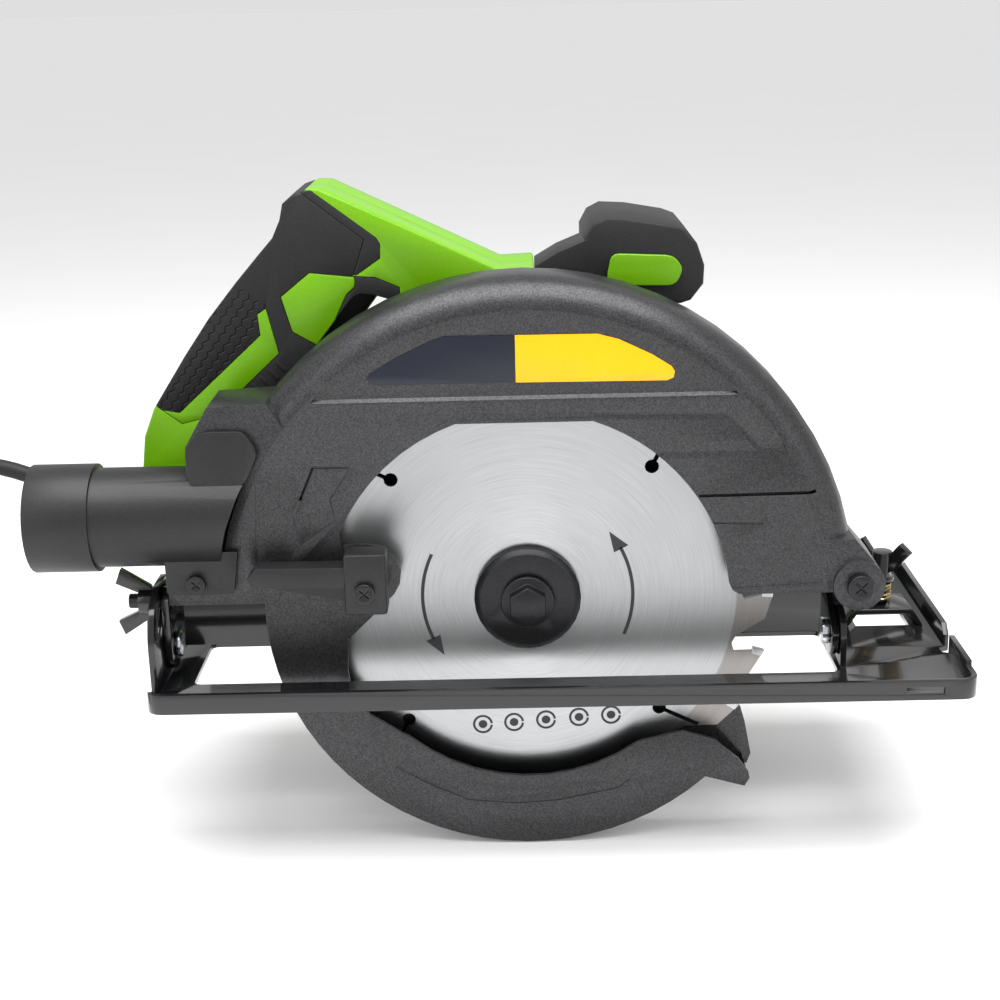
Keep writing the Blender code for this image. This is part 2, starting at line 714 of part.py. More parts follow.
def front_handle():
    side = [
        (24, 112), (24, 128), (27, 133.5), (32, 136), (42, 135.4), (57, 132.7), (62, 130.8),
        (66.2, 125.7), (69, 117.5), (68.7, 110.5), (64, 104.4), (60, 103.2), (30, 104),
    ]
    grip = settled(soften(prism("Y", [side], (34, 88)), 4, 2, 60))
    neck = [(5.4, 97.5), (5.4, 118.6), (14, 123.6), (30, 130), (34, 104), (24, 92), (12, 90)]
    join(grip, prism("Y", [neck], (34, 60)))
    cut(grip, rod("Y", (motor_x, motor_z), motor_radius + gap, (0, 90), 48))
    finish(grip, "front_handle", "black_rubber")
    inset = rounded([(32, 113), (34, 123), (57, 121.8), (61, 117), (58, 110.5), (37, 111)], 3)
    finish(soften(prism("Y", [inset], (31.9, 33.7)), 0.5, 1), "front_handle_inset", "green_plastic")


# ---------------------------------------------------------------- shoe and tilting frame

def shoe():
    near_right = arc((shoe_front - 6, shoe_near + 6), 6, -90, 0, 4)
    near_left = arc((shoe_rear + 6, shoe_near + 6), 6, 180, 270, 4)
    notch = [(shoe_front, 1), (157.5, 3), (157.5, 7), (shoe_front, 9)]
    edge = near_left + near_right + notch + [(shoe_front, shoe_far), (shoe_rear, shoe_far)]
    hole = [
        (opening_x[0], opening_y[0]), (opening_x[1], opening_y[0]),
        (opening_x[1], opening_y[1]), (opening_x[0], opening_y[1]),
    ]
    top = sole_z + plate_thick
    plate = prism("Z", [edge, rounded(hole, 3)], (sole_z, top))

    rim = plate_thick
    near_wall = (
        near_left[1:] + near_right
        + [(shoe_front, 1), (shoe_front - rim, 1)]
        + arc((shoe_front - 6, shoe_near + 6), 6 - rim, 0, -90, 4)
        + arc((shoe_rear + 6, shoe_near + 6), 6 - rim, 270, 200, 4)
    )
    join(plate, prism("Z", [near_wall], (sole_z + 0.2, sole_z + shoe_lip)))
    join(plate, box((shoe_front - rim, shoe_front), (-24, 1), (sole_z + 0.3, sole_z + 9.5)))
    front_wall = [(9, sole_z + 0.3), (9, sole_z + 6.5), (13, sole_z + 10), (shoe_far, sole_z + 10), (shoe_far, sole_z + 0.3)]
    join(plate, prism("X", [front_wall], (shoe_front - rim, shoe_front)))
    join(plate, box((shoe_rear, shoe_front), (shoe_far - rim, shoe_far), (sole_z + 0.3, sole_z + shoe_lip)))

    cut(plate, box((130.5, 151.5), (31.5, 48.5), (sole_z - 2, top + 2)))
    cut(plate, box((135, 148.8), (shoe_near - 2, shoe_near + 5), (top + 0.3, top + 3)))

    lug = arc((bevel_y, bevel_z), 10, 0, 180, 10) + [(-10, top - 0.8), (10, top - 0.8)]
    join(plate, prism("X", [lug], (116.4, 118.6)))
    quadrant = [(-25, top - 0.8), (-25, -6), (-21, 4), (-9, 9.6), (8, 9.6), (12, 4), (12, top - 0.8)]
    join(plate, prism("X", [rounded(quadrant, 3, 2)], (-138.9, -136.5)))
    for span in ((110, 125), (-145, -130)):
        cut(plate, rod("X", (bevel_y, bevel_z), 3.3, span, 16))
    reach = bevel_stud_reach
    slot = (
        arc((bevel_y, bevel_z), reach + 3.2, 78, 147, 8)
        + arc((bevel_y, bevel_z), reach - 3.2, 147, 78, 8)
    )
    cut(plate, prism("X", [slot], (-145, -130)))
    finish(plate, "shoe", "black_steel")

    for name, head, shank in (
        ("bevel_rivet_front", (110.6, 113.1), (113, 119.4)),
        ("bevel_rivet_rear", (-133.3, -131.2), (-139.6, -133)),
    ):
        rivet = rod("X", (bevel_y, bevel_z), 5.0, head, 20)
        join(rivet, rod("X", (bevel_y, bevel_z), 3.0, shank, 16))
        finish(rivet, name, "zinc")


def tilting_frame():
    link = (
        arc((bevel_y, bevel_z), 9, 170, 320, 8)
        + [(16.8, -18), (16.8, 1), (14.9, 1), (14.9, -4), (4, -5.5)]
    )
    front = prism("X", [link], (113.4, 116.0))
    ear = [(113.7, -19.5), (115.7, -19.5), (127, -2)] + arc((depth_x, depth_z), 9.5, -20, 200, 10) + [(113.7, -2)]
    join(front, prism("Y", [ear], (14.6, 17.1)))
    cut(front, rod("X", (bevel_y, bevel_z), 3.3, (110, 120), 16))
    cut(front, rod("Y", (depth_x, depth_z), 3.3, (10, 20), 16))
    finish(front, "front_link", "black_steel", (depth_x, 0, bevel_z))

    pivot = (depth_x, depth_z)
    slot_end = 180 - depth_swing
    inner, outer = depth_slot_radius - 8, depth_slot_radius + 8
    plate = (
        [(-136, -24)]
        + arc(pivot, inner, 190.5, slot_end - 3.5, 16)
        + arc(pivot, outer, slot_end - 3.5, 183.5, 16)
        + [(-64, -7), (-136, -7)]
    )
    slot = (
        arc(pivot, depth_slot_radius + 3.2, 181.5, slot_end - 1.5, 16)
        + arc(pivot, depth_slot_radius - 3.2, slot_end - 1.5, 181.5, 16)
    )
    quadrant = prism("Y", [plate, slot], (16.6, 19.0))
    rear = (
        arc((bevel_y, bevel_z), 9.3, 175, 300, 8)
        + [(19, -24), (19, -6), (9.5, 5), (5, 8), (-5, 8), (-9.3, 4)]
    )
    join(quadrant, prism("X", [rear], (-136.2, -133.6)))
    cut(quadrant, rod("X", (bevel_y, bevel_z), 3.3, (-140, -130), 16))
    cut(quadrant, rod("X", (bevel_y, bevel_z + bevel_stud_reach), 3.1, (-140, -130), 16))
    finish(quadrant, "depth_quadrant", "black_steel", (depth_x, 0, bevel_z))

    stud_z = bevel_z + bevel_stud_reach
    stud = rod("X", (bevel_y, stud_z), 5.5, (-133.3, -132.4), 20)
    join(stud, rod("X", (bevel_y, stud_z), 2.8, (-150, -133), 16))
    finish(stud, "bevel_stud", "black_oxide", (0, bevel_y, bevel_z))
    nut = rod("X", (bevel_y, stud_z), 5.2, (-146, -139.2), 20)
    for side in (1, -1):
        wing = [
            (-140.2, stud_z + side * 2.5), (-143.5, stud_z + side * 2.5),
            (-154.5, stud_z + side * 7.5), (-152.4, stud_z + side * 13), (-141.5, stud_z + side * 6),
        ]
        join(nut, prism("Y", [wing], (-1.7, 1.7)))
    cut(nut, rod("X", (bevel_y, stud_z), 3.1, (-160, -130), 16))
    finish(nut, "bevel_wing_nut", "black_steel", (-143, bevel_y, stud_z))


def pivot_screws():
    screw = rod("Y", (depth_x, depth_z), 4.8, (-19.2, -16.3), 24)
    join(screw, rod("Y", (depth_x, depth_z), 3.0, (-17, 23), 16))
    finish(screw, "depth_pivot_screw", "black_oxide")
    nut = prism("Y", [hexagon((depth_x, depth_z), 10), arc((depth_x, depth_z), 3.3, 0, 337.5, 15)], (17.4, 22))
    finish(nut, "depth_pivot_nut", "zinc")

    place = (depth_x - depth_slot_radius, depth_z)
    bolt = rod("Y", place, 6.0, (9.3, 11.2), 20)
    join(bolt, rod("Y", place, 2.8, (11, 24.6), 16))
    finish(bolt, "depth_lock_bolt", "zinc")
    hub = rod("Y", place, 8, (19.4, 24.6), 24)
    arm = rounded(
        [
            (place[0], place[1] + 6), (place[0] - 50, place[1] - 1),
            (place[0] - 52, place[1] - 8), (place[0], place[1] - 6),
        ],
        3,
    )
    join(hub, prism("Y", [arm], (20, 24.4)))
    cut(hub, rod("Y", place, 3.1, (10, 30), 16))
    finish(hub, "depth_lock_lever", "black_plastic", (place[0], 22, place[1]))


def fence_clamp():
    top = sole_z + plate_thick
    x, y = 141.5, 40
    foot = top + gap
    strap = [(124.9, foot), (129.5, top + 7), (152.5, top + 7), (156.8, foot)]
    under = [(153.9, foot), (151.2, top + 5), (130.8, top + 5), (127.8, foot)]
    bridge = prism("Y", [strap + under], (31, 49))
    cut(bridge, rod("Z", (x, y), 3.1, (top + 2, top + 12), 16))
    finish(bridge, "fence_strap", "black_steel")

    strap = top + 7
    screw = rod("Z", (x, y), 2.6, (top + 2.2, -8), 16)
    join(screw, rod("Z", (x, y), 5.2, (-11.5, -9.5), 20))
    join(screw, rod("Z", (x, y), 4.0, (-10, 1.0), 20))
    for side in (1, -1):
        wing = [(side * 2, -8), (side * 2, -2), (side * 8, 5.5), (side * 12.5, 2), (side * 6, -6)]
        leaf = prism("Y", [wing], (-1.6, 1.6))
        leaf.data.transform(Matrix.Translation((x, y, 0)) @ Matrix.Rotation(math.radians(-38), 4, "Z"))
        join(screw, leaf)
    finish(screw, "fence_clamp_screw", "black_steel", (x, y, -10))
    turns, steps = 4, 9
    bottom, height = strap + 0.9, -12.4 - strap - 0.9
    coil = []
    for step in range(turns * steps + 1):
        angle = 2 * math.pi * step / steps
        coil.append((x + 4.0 * math.cos(angle), y + 4.0 * math.sin(angle), bottom + height * step / (turns * steps)))
    finish(wire(coil, 0.5, 1), "fence_clamp_spring", "spring_steel")


# ---------------------------------------------------------------- cord

cord_route = [
    (-193.5, 45.0, 37.3), (-207.0, 45.0, 41.8), (-221.0, 44.0, 43.5), (-235.0, 42.0, 38.0),
    (-246.0, 38.0, 24.0), (-252.5, 33.0, 2.0), (-257.0, 26.0, -28.0), (-263.0, 18.0, -62.0),
    (-274.0, 9.0, -86.5), (-292.0, 3.0, -94.2), (-312.0, 2.5, -94.4),
]
coil_centre = (-330.0, 44.6)
coil_middle = 36.0
coil_width = 2 * cord_radius * 2
coil_levels = 4


def smooth_route(points, spacing):
    """Evenly spaced points on the smooth curve through the route's points."""
    knots = [Vector(p) for p in points]
    knots = [2 * knots[0] - knots[1]] + knots + [2 * knots[-1] - knots[-2]]
    fine = []
    for k in range(1, len(knots) - 2):
        a, b, c, d = knots[k - 1 : k + 3]
        for step in range(24):
            t = step / 24
            fine.append(
                0.5 * (2 * b + (c - a) * t + (2 * a - 5 * b + 4 * c - d) * t**2 + (3 * b - a - 3 * c + d) * t**3)
            )
    fine.append(knots[-2])
    made, travelled = [fine[0]], 0.0
    for before, after in zip(fine, fine[1:]):
        travelled += (after - before).length
        if travelled >= spacing:
            made.append(after)
            travelled = 0.0
    if travelled > spacing / 2:
        made.append(fine[-1])
    else:
        made[-1] = fine[-1]
    return made


def cord_frame():
    """Turns local Z onto the cord's way out of the heel."""
    exit_point = Vector(cord_exit)
    direction = Vector(cord_route[0]) - exit_point
    turn = Vector((0, 0, 1)).rotation_difference(direction).to_matrix().to_4x4()
    return Matrix.Translation(exit_point) @ turn


def cord():
    length = (Vector(cord_route[0]) - Vector(cord_exit)).length
    sleeve = turned(
        "Z", (0, 0),
        [
            (cord_radius + 0.3, -12), (4.3, -12), (4.3, 3.4), (6.6, 3.4), (6.6, 5.8),
            (5.6, 8), (4.9, length - 5.0), (5.6, length - 4.6), (5.6, length - 1.2), (4.9, length - 0.6),
            (cord_radius + 0.3, length - 0.6),
        ],
        20,
    )
    sleeve.data.transform(cord_frame())
    finish(sleeve, "strain_relief", "black_rubber")

    tube = wire(smooth_route(cord_route, 6 * cord_radius), cord_radius, 2)
    finish(tube, "power_cord", "black_rubber")

    low, high = floor_z + 0.1, floor_z + 0.1 + 2 * cord_radius * coil_levels
    inner, outer = coil_middle - coil_width / 2, coil_middle + coil_width / 2
    edge = cord_radius * 0.9
    profile = [
        (inner, low + edge), (inner + edge, low), (outer - edge, low), (outer, low + edge),
        (outer, high - edge), (outer - edge, high), (inner + edge, high), (inner, high - edge),
    ]
    finish(turned("Z", coil_centre, profile, 28), "cord_coil", "black_rubber")

    px, py = coil_centre[0], coil_centre[1] + coil_middle + 42
    body = [(-18.5, 0), (-18.5, 10), (-8, 34), (8, 34), (18.5, 10), (18.5, 0)]
    shape = [(px + u, py + v - 16) for u, v in body]
    plug = settled(soften(prism("Z", [shape], (floor_z + 0.4, floor_z + 26.4)), 6, 3, 50))
    for side in (-1, 1):
        join(plug, rod("Y", (px + side * 9.5, floor_z + 13.4), 2.4, (py - 35, py - 15), 12))
    finish(plug, "mains_plug", "black_rubber")


# ---------------------------------------------------------------- build

saw_blade()
spindle_set()
upper_guard()
dust_port()
lower_guard()
guard_lever()
guard_spring()
gear_case()
motor()
handle()
front_handle()
shoe()
tilting_frame()
pivot_screws()
fence_clamp()
cord()
for spare in list(cutters.objects):
    spare.hide_render = True
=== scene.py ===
import json
import math

import bpy
from mathutils import Matrix, Vector


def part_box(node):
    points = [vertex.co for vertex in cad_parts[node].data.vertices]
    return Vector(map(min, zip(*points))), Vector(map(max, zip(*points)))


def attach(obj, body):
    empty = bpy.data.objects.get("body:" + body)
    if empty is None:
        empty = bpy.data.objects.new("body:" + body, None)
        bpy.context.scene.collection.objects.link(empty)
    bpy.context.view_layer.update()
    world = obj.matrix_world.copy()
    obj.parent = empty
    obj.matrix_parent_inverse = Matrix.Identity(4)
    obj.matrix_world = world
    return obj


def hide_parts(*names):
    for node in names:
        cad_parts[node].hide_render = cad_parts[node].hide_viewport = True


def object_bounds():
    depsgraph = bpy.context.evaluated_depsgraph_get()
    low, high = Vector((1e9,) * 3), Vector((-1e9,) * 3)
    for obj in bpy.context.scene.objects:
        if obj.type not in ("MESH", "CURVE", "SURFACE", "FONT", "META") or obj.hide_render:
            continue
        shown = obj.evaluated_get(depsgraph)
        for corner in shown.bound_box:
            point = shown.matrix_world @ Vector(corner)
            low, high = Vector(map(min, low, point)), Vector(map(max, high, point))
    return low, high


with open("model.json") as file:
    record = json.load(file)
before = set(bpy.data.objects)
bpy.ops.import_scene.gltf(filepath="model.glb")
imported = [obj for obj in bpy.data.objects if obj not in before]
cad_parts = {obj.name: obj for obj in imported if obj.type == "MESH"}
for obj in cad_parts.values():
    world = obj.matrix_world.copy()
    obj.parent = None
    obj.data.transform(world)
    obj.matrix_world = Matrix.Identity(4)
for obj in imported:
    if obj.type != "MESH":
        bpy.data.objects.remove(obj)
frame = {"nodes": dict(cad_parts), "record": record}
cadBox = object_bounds()
sceneTree = bpy.context.scene.collection

bladeLow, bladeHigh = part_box("saw_blade")
arbor = (Vector(bladeLow) + Vector(bladeHigh)) / 2    # the blade's centre, which the saw is measured from
bodyOf = {part: body for body, parts in frame["record"]["behaviour"]["bodies"].items() for part in parts}


meshing = {
    "smoothAngle": 38,    # degrees below which two faces shade as one
    "roundedAngle": 35,    # degrees past which an edge is rounded
    "flatAngle": 0.4,    # degrees below which neighbouring faces become one
    "weld": 0.00001,    # metres within which a part's corners are joined
    "outlineWeld": 0.000005,
}


def at(x, y, z):
    return arbor + Vector((x, y, z)) / 1000    # millimetres from the blade's centre, into the room


def deselectAll():
    bpy.ops.object.select_all(action="DESELECT")


def pick(obj):
    deselectAll()
    obj.select_set(True)
    bpy.context.view_layer.objects.active = obj


def applyModifiers(obj):
    pick(obj)
    for modifier in list(obj.modifiers):
        bpy.ops.object.modifier_apply(modifier=modifier.name)


def smooth(obj, angle=meshing["smoothAngle"]):
    pick(obj)
    bpy.ops.object.shade_smooth_by_angle(angle=math.radians(angle))


def roundEdges(obj, width, steps=2):
    bevel = obj.modifiers.new("Edges", "BEVEL")
    bevel.width = width / 1000
    bevel.segments = steps
    bevel.limit_method = "ANGLE"
    bevel.angle_limit = math.radians(meshing["roundedAngle"])
    bevel.use_clamp_overlap = True
    bevel.miter_outer = "MITER_ARC"
    applyModifiers(obj)


def paint(obj, finish):
    obj.data.materials.clear()
    obj.data.materials.append(finish)


# the camera, placed first; the cord's unseen length is wound beside what it sees
cameraSet = {
    "place": (-0.00171, -0.56282, 0.24615),
    "down": 0.2951,    # radians, as turn and roll are
    "turn": -0.0132,
    "roll": -0.0252,
    "lens": 59.906,
    "sensor": 36,
    "nearest": 0.01,
}


def placeCamera():
    down, turn, roll = cameraSet["down"], cameraSet["turn"], cameraSet["roll"]
    forward = Vector((math.sin(turn) * math.cos(down), math.cos(turn) * math.cos(down), -math.sin(down)))
    level = Vector((math.cos(turn), -math.sin(turn), 0))
    upright = level.cross(forward)
    side = level * math.cos(roll) + upright * math.sin(roll)
    top = upright * math.cos(roll) - level * math.sin(roll)
    bpy.ops.object.camera_add(location=cameraSet["place"])
    camera = bpy.context.object
    camera.name = "BenchCamera"
    aim = Matrix((side, top, -forward)).transposed().to_4x4()
    camera.matrix_world = Matrix.Translation(cameraSet["place"]) @ aim
    camera.data.lens = cameraSet["lens"]
    camera.data.sensor_width = cameraSet["sensor"]
    camera.data.clip_start = cameraSet["nearest"]
    bpy.context.scene.camera = camera


placeCamera()
print("camera placed")


def addNode(tree, kind, inputs=None, **settings):
    made = tree.nodes.new("ShaderNode" + kind)
    for key, value in settings.items():
        setattr(made, key, value)
    for key, value in (inputs or {}).items():
        made.inputs[key].default_value = value
    return made


# what a finish is like where its own entry says nothing else
plainLook = {
    "gleam": 0.5, "metal": 0.0, "coat": 0.0, "coatRough": 0.15,
    "cloud": 0.14, "cloudScale": 14.0, "speck": 0.15, "speckScale": 1900.0,
    "wear": 0.35, "wearWidth": 0.0009, "wearScale": 160.0, "roughSpread": 0.08, "driftScale": 45.0,
    "grain": 0.3, "grainScale": 900.0, "grainDepth": 0.00015,
}


def surface(name, changes):
    look = {**plainLook, **changes}
    finish = bpy.data.materials.new(name)
    finish.use_nodes = True
    tree = finish.node_tree
    link = tree.links.new
    shader = tree.nodes["Principled BSDF"]
    shader.inputs["Metallic"].default_value = look["metal"]
    shader.inputs["Coat Weight"].default_value = look["coat"]
    shader.inputs["Coat Roughness"].default_value = look["coatRough"]
    shader.inputs["Specular IOR Level"].default_value = look["gleam"]
    place = addNode(tree, "TexCoord")
    color = look["color"]
    # broad cloudy change of tone
    cloud = addNode(tree, "TexNoise", {"Scale": look["cloudScale"], "Detail": 4.0, "Roughness": 0.6})
    link(place.outputs["Object"], cloud.inputs["Vector"])
    tones = addNode(tree, "ValToRGB")
    change = look["cloud"]
    tones.color_ramp.elements[0].position = 0.3
    tones.color_ramp.elements[1].position = 0.7
    tones.color_ramp.elements[0].color = (*[c * (1 - change) for c in color], 1)
    tones.color_ramp.elements[1].color = (*[min(1, c * (1 + change)) for c in color], 1)
    link(cloud.outputs["Fac"], tones.inputs["Fac"])
    # fine specks of the pigment or flake
    speck = addNode(tree, "TexVoronoi", {"Scale": look["speckScale"]})
    link(place.outputs["Object"], speck.inputs["Vector"])
    speckTone = addNode(tree, "MapRange", {"To Min": 1 - look["speck"], "To Max": 1 + look["speck"]})
    speckGray = addNode(tree, "RGBToBW")
    link(speck.outputs["Color"], speckGray.inputs["Color"])
    link(speckGray.outputs["Val"], speckTone.inputs["Value"])
    tinted = addNode(tree, "VectorMath", operation="SCALE")
    link(tones.outputs["Color"], tinted.inputs[0])
    link(speckTone.outputs["Result"], tinted.inputs["Scale"])
    # handled and rubbed edges show a little lighter
    edge = addNode(tree, "Bevel", {"Radius": look["wearWidth"]}, samples=4)
    shape = addNode(tree, "NewGeometry")
    turned = addNode(tree, "VectorMath", operation="DOT_PRODUCT")
    link(edge.outputs["Normal"], turned.inputs[0])
    link(shape.outputs["Normal"], turned.inputs[1])
    rubbed = addNode(tree, "MapRange", {"From Min": 0.985, "From Max": 0.86, "To Min": 0.0, "To Max": look["wear"]})
    link(turned.outputs["Value"], rubbed.inputs["Value"])
    patchy = addNode(tree, "TexNoise", {"Scale": look["wearScale"], "Detail": 3.0})
    link(place.outputs["Object"], patchy.inputs["Vector"])
    worn = addNode(tree, "Math", operation="MULTIPLY")
    link(rubbed.outputs["Result"], worn.inputs[0])
    link(patchy.outputs["Fac"], worn.inputs[1])
    mixed = addNode(tree, "Mix", data_type="RGBA")
    link(worn.outputs["Value"], mixed.inputs["Factor"])
    link(tinted.outputs["Vector"], mixed.inputs[6])
    mixed.inputs[7].default_value = (*look.get("bare", [min(1, c * 2.2 + 0.02) for c in color]), 1)
    link(mixed.outputs[2], shader.inputs["Base Color"])
    # roughness drifts with handling
    drift = addNode(tree, "TexNoise", {"Scale": look["driftScale"], "Detail": 5.0})
    link(place.outputs["Object"], drift.inputs["Vector"])
    rough = look["rough"]
    spread = look["roughSpread"]
    roughness = addNode(tree, "MapRange", {"To Min": max(0.02, rough - spread), "To Max": min(1, rough + spread)})
    link(drift.outputs["Fac"], roughness.inputs["Value"])
    link(roughness.outputs["Result"], shader.inputs["Roughness"])
    # moulded grain, cast skin or paint film
    grain = addNode(tree, "TexNoise", {"Scale": look["grainScale"], "Detail": 3.0, "Roughness": 0.55})
    link(place.outputs["Object"], grain.inputs["Vector"])
    bump = addNode(tree, "Bump", {"Strength": look["grain"], "Distance": look["grainDepth"]})
    link(grain.outputs["Fac"], bump.inputs["Height"])
    link(bump.outputs["Normal"], shader.inputs["Normal"])
    return finish


looks = {
    "black_steel": {
        "color": (0.006, 0.006, 0.007), "rough": 0.2, "gleam": 0.4, "coat": 0.4, "coatRough": 0.08,
        "grain": 0.12, "grainScale": 260, "grainDepth": 0.0001, "wear": 0.25, "speck": 0.1,
    },
    "guard_grey": {
        "color": (0.040, 0.040, 0.042), "rough": 0.37, "metal": 0.6, "cloud": 0.08, "speck": 0.55, "speckScale": 2200,
        "grain": 0.45, "grainScale": 1500, "grainDepth": 0.00012, "wear": 0.35, "bare": (0.12, 0.12, 0.125),
    },
    "port_plastic": {
        "color": (0.013, 0.013, 0.014), "rough": 0.42, "gleam": 0.35, "grain": 0.4, "grainScale": 1800, "speck": 0.2,
    },
    "green_plastic": {
        "color": (0.128, 0.335, 0.001), "rough": 0.36, "gleam": 0.3, "cloud": 0.06, "speck": 0.05,
        "grain": 0.25, "grainScale": 2400, "grainDepth": 0.00008, "wear": 0.25, "bare": (0.17, 0.45, 0.02),
    },
    "black_rubber": {
        "color": (0.012, 0.012, 0.013), "rough": 0.55, "gleam": 0.3, "speck": 0.25,
        "grain": 0.5, "grainScale": 2100, "grainDepth": 0.00012, "wear": 0.25,
    },
    "black_plastic": {
        "color": (0.011, 0.011, 0.012), "rough": 0.4, "gleam": 0.35, "grain": 0.35, "grainScale": 1700, "speck": 0.15,
    },
    "black_oxide": {
        "color": (0.016, 0.016, 0.018), "rough": 0.34, "metal": 0.6, "speck": 0.25, "grain": 0.2,
        "wear": 0.5, "bare": (0.2, 0.19, 0.18),
    },
    "zinc": {"color": (0.55, 0.56, 0.60), "rough": 0.26, "metal": 1.0, "grain": 0.15, "grainScale": 500},
    "spring_steel": {"color": (0.42, 0.31, 0.15), "rough": 0.3, "metal": 1.0, "grain": 0.15},
    "cast_alloy": {
        "color": (0.40, 0.41, 0.42), "rough": 0.5, "metal": 0.9, "grain": 0.7, "grainScale": 650, "grainDepth": 0.0003,
    },
    "copper": {"color": (0.55, 0.19, 0.07), "rough": 0.3, "metal": 0.9},
    "laminated_iron": {"color": (0.25, 0.25, 0.26), "rough": 0.5, "metal": 0.8},
    "carbon": {"color": (0.02, 0.02, 0.02), "rough": 0.6},
    "carbide": {"color": (0.42, 0.42, 0.43), "rough": 0.3, "metal": 1.0, "grain": 0.2, "grainScale": 900},
    "ink": {"color": (0.018, 0.018, 0.02), "rough": 0.55, "speck": 0.1, "wear": 0.0},
    "stickerDark": {
        "color": (0.010, 0.012, 0.022), "rough": 0.3, "gleam": 0.3, "coat": 0.12, "wear": 0.0,
        "speck": 0.05, "grain": 0.1, "grainScale": 120,
    },
    "stickerYellow": {
        "color": (0.93, 0.44, 0.001), "rough": 0.3, "gleam": 0.3, "coat": 0.12, "wear": 0.0, "cloud": 0.03,
        "speck": 0.04, "grain": 0.1, "grainScale": 120,
    },
}
finishes = {name: surface(name, look) for name, look in looks.items()}


def bladeSteel(name, look):
    # ground in rings about the arbor, with a darker run out by the teeth
    finish = surface(name, look)
    tree = finish.node_tree
    link = tree.links.new
    shader = tree.nodes["Principled BSDF"]
    place = addNode(tree, "TexCoord")
    centred = addNode(tree, "VectorMath", operation="SUBTRACT")
    centred.inputs[1].default_value = arbor
    link(place.outputs["Object"], centred.inputs[0])
    flat = addNode(tree, "VectorMath", operation="MULTIPLY")
    flat.inputs[1].default_value = (1, 0, 1)
    link(centred.outputs["Vector"], flat.inputs[0])
    reach = addNode(tree, "VectorMath", operation="LENGTH")
    link(flat.outputs["Vector"], reach.inputs[0])
    around = addNode(tree, "VectorMath", operation="NORMALIZE")
    link(flat.outputs["Vector"], around.inputs[0])
    # fine rings: the noise is read by reach, and hardly changes round the turn
    rings = addNode(tree, "VectorMath", operation="SCALE")
    rings.inputs["Scale"].default_value = look["ringTurn"]
    link(around.outputs["Vector"], rings.inputs[0])
    outward = addNode(tree, "Math", operation="MULTIPLY")
    outward.inputs[1].default_value = look["ringCount"]
    link(reach.outputs["Value"], outward.inputs[0])
    lifted = addNode(tree, "CombineXYZ")
    link(outward.outputs["Value"], lifted.inputs["Y"])
    spot = addNode(tree, "VectorMath", operation="ADD")
    link(rings.outputs["Vector"], spot.inputs[0])
    link(lifted.outputs["Vector"], spot.inputs[1])
    scratch = addNode(tree, "TexNoise", {"Scale": 1.0, "Detail": 4.0, "Roughness": 0.7})
    link(spot.outputs["Vector"], scratch.inputs["Vector"])
    bump = addNode(tree, "Bump", {"Strength": look["ringBump"], "Distance": look["ringBumpDepth"]})
    link(scratch.outputs["Fac"], bump.inputs["Height"])
    link(bump.outputs["Normal"], shader.inputs["Normal"])
    # tone: streaks, and the darker outer ring
    dull, bright = look["streaks"]
    streak = addNode(tree, "MapRange", {"From Min": 0.3, "From Max": 0.7, "To Min": dull, "To Max": bright})
    link(scratch.outputs["Fac"], streak.inputs["Value"])
    ring = addNode(tree, "ValToRGB")
    ramp = ring.color_ramp
    ramp.elements[0].position = look["ringEdge"]
    ramp.elements[0].color = (*look["color"], 1)
    ramp.elements[1].position = look["ringEdge"] + look["ringBlend"]
    ramp.elements[1].color = (*look["outerColor"], 1)
    scaled = addNode(tree, "Math", operation="MULTIPLY")
    scaled.inputs[1].default_value = look["ringScale"]
    link(reach.outputs["Value"], scaled.inputs[0])
    link(scaled.outputs["Value"], ring.inputs["Fac"])
    toned = addNode(tree, "VectorMath", operation="SCALE")
    link(ring.outputs["Color"], toned.inputs[0])
    link(streak.outputs["Result"], toned.inputs["Scale"])
    link(toned.outputs["Vector"], shader.inputs["Base Color"])
    # the sheen fans out from the arbor
    across = addNode(tree, "VectorMath", operation="CROSS_PRODUCT")
    across.inputs[1].default_value = (0, 1, 0)
    link(around.outputs["Vector"], across.inputs[0])
    turned = addNode(tree, "VectorTransform", vector_type="VECTOR", convert_from="OBJECT", convert_to="WORLD")
    link(across.outputs["Vector"], turned.inputs["Vector"])
    link(turned.outputs["Vector"], shader.inputs["Tangent"])
    shader.inputs["Anisotropic"].default_value = look["fan"]
    return finish


bladeLook = {
    "color": (0.40, 0.405, 0.41), "outerColor": (0.27, 0.255, 0.245), "metal": 1.0, "rough": 0.33, "roughSpread": 0.04,
    "ringCount": 2600.0, "ringTurn": 2.2, "ringBump": 0.16, "ringBumpDepth": 0.00006, "streaks": (0.86, 1.1),
    "ringEdge": 0.784, "ringBlend": 0.002, "ringScale": 10.0,    # the ring's edge, in tenths of a metre
    "fan": 0.75,
}
finishes["brushed_steel"] = bladeSteel("brushed_steel", bladeLook)


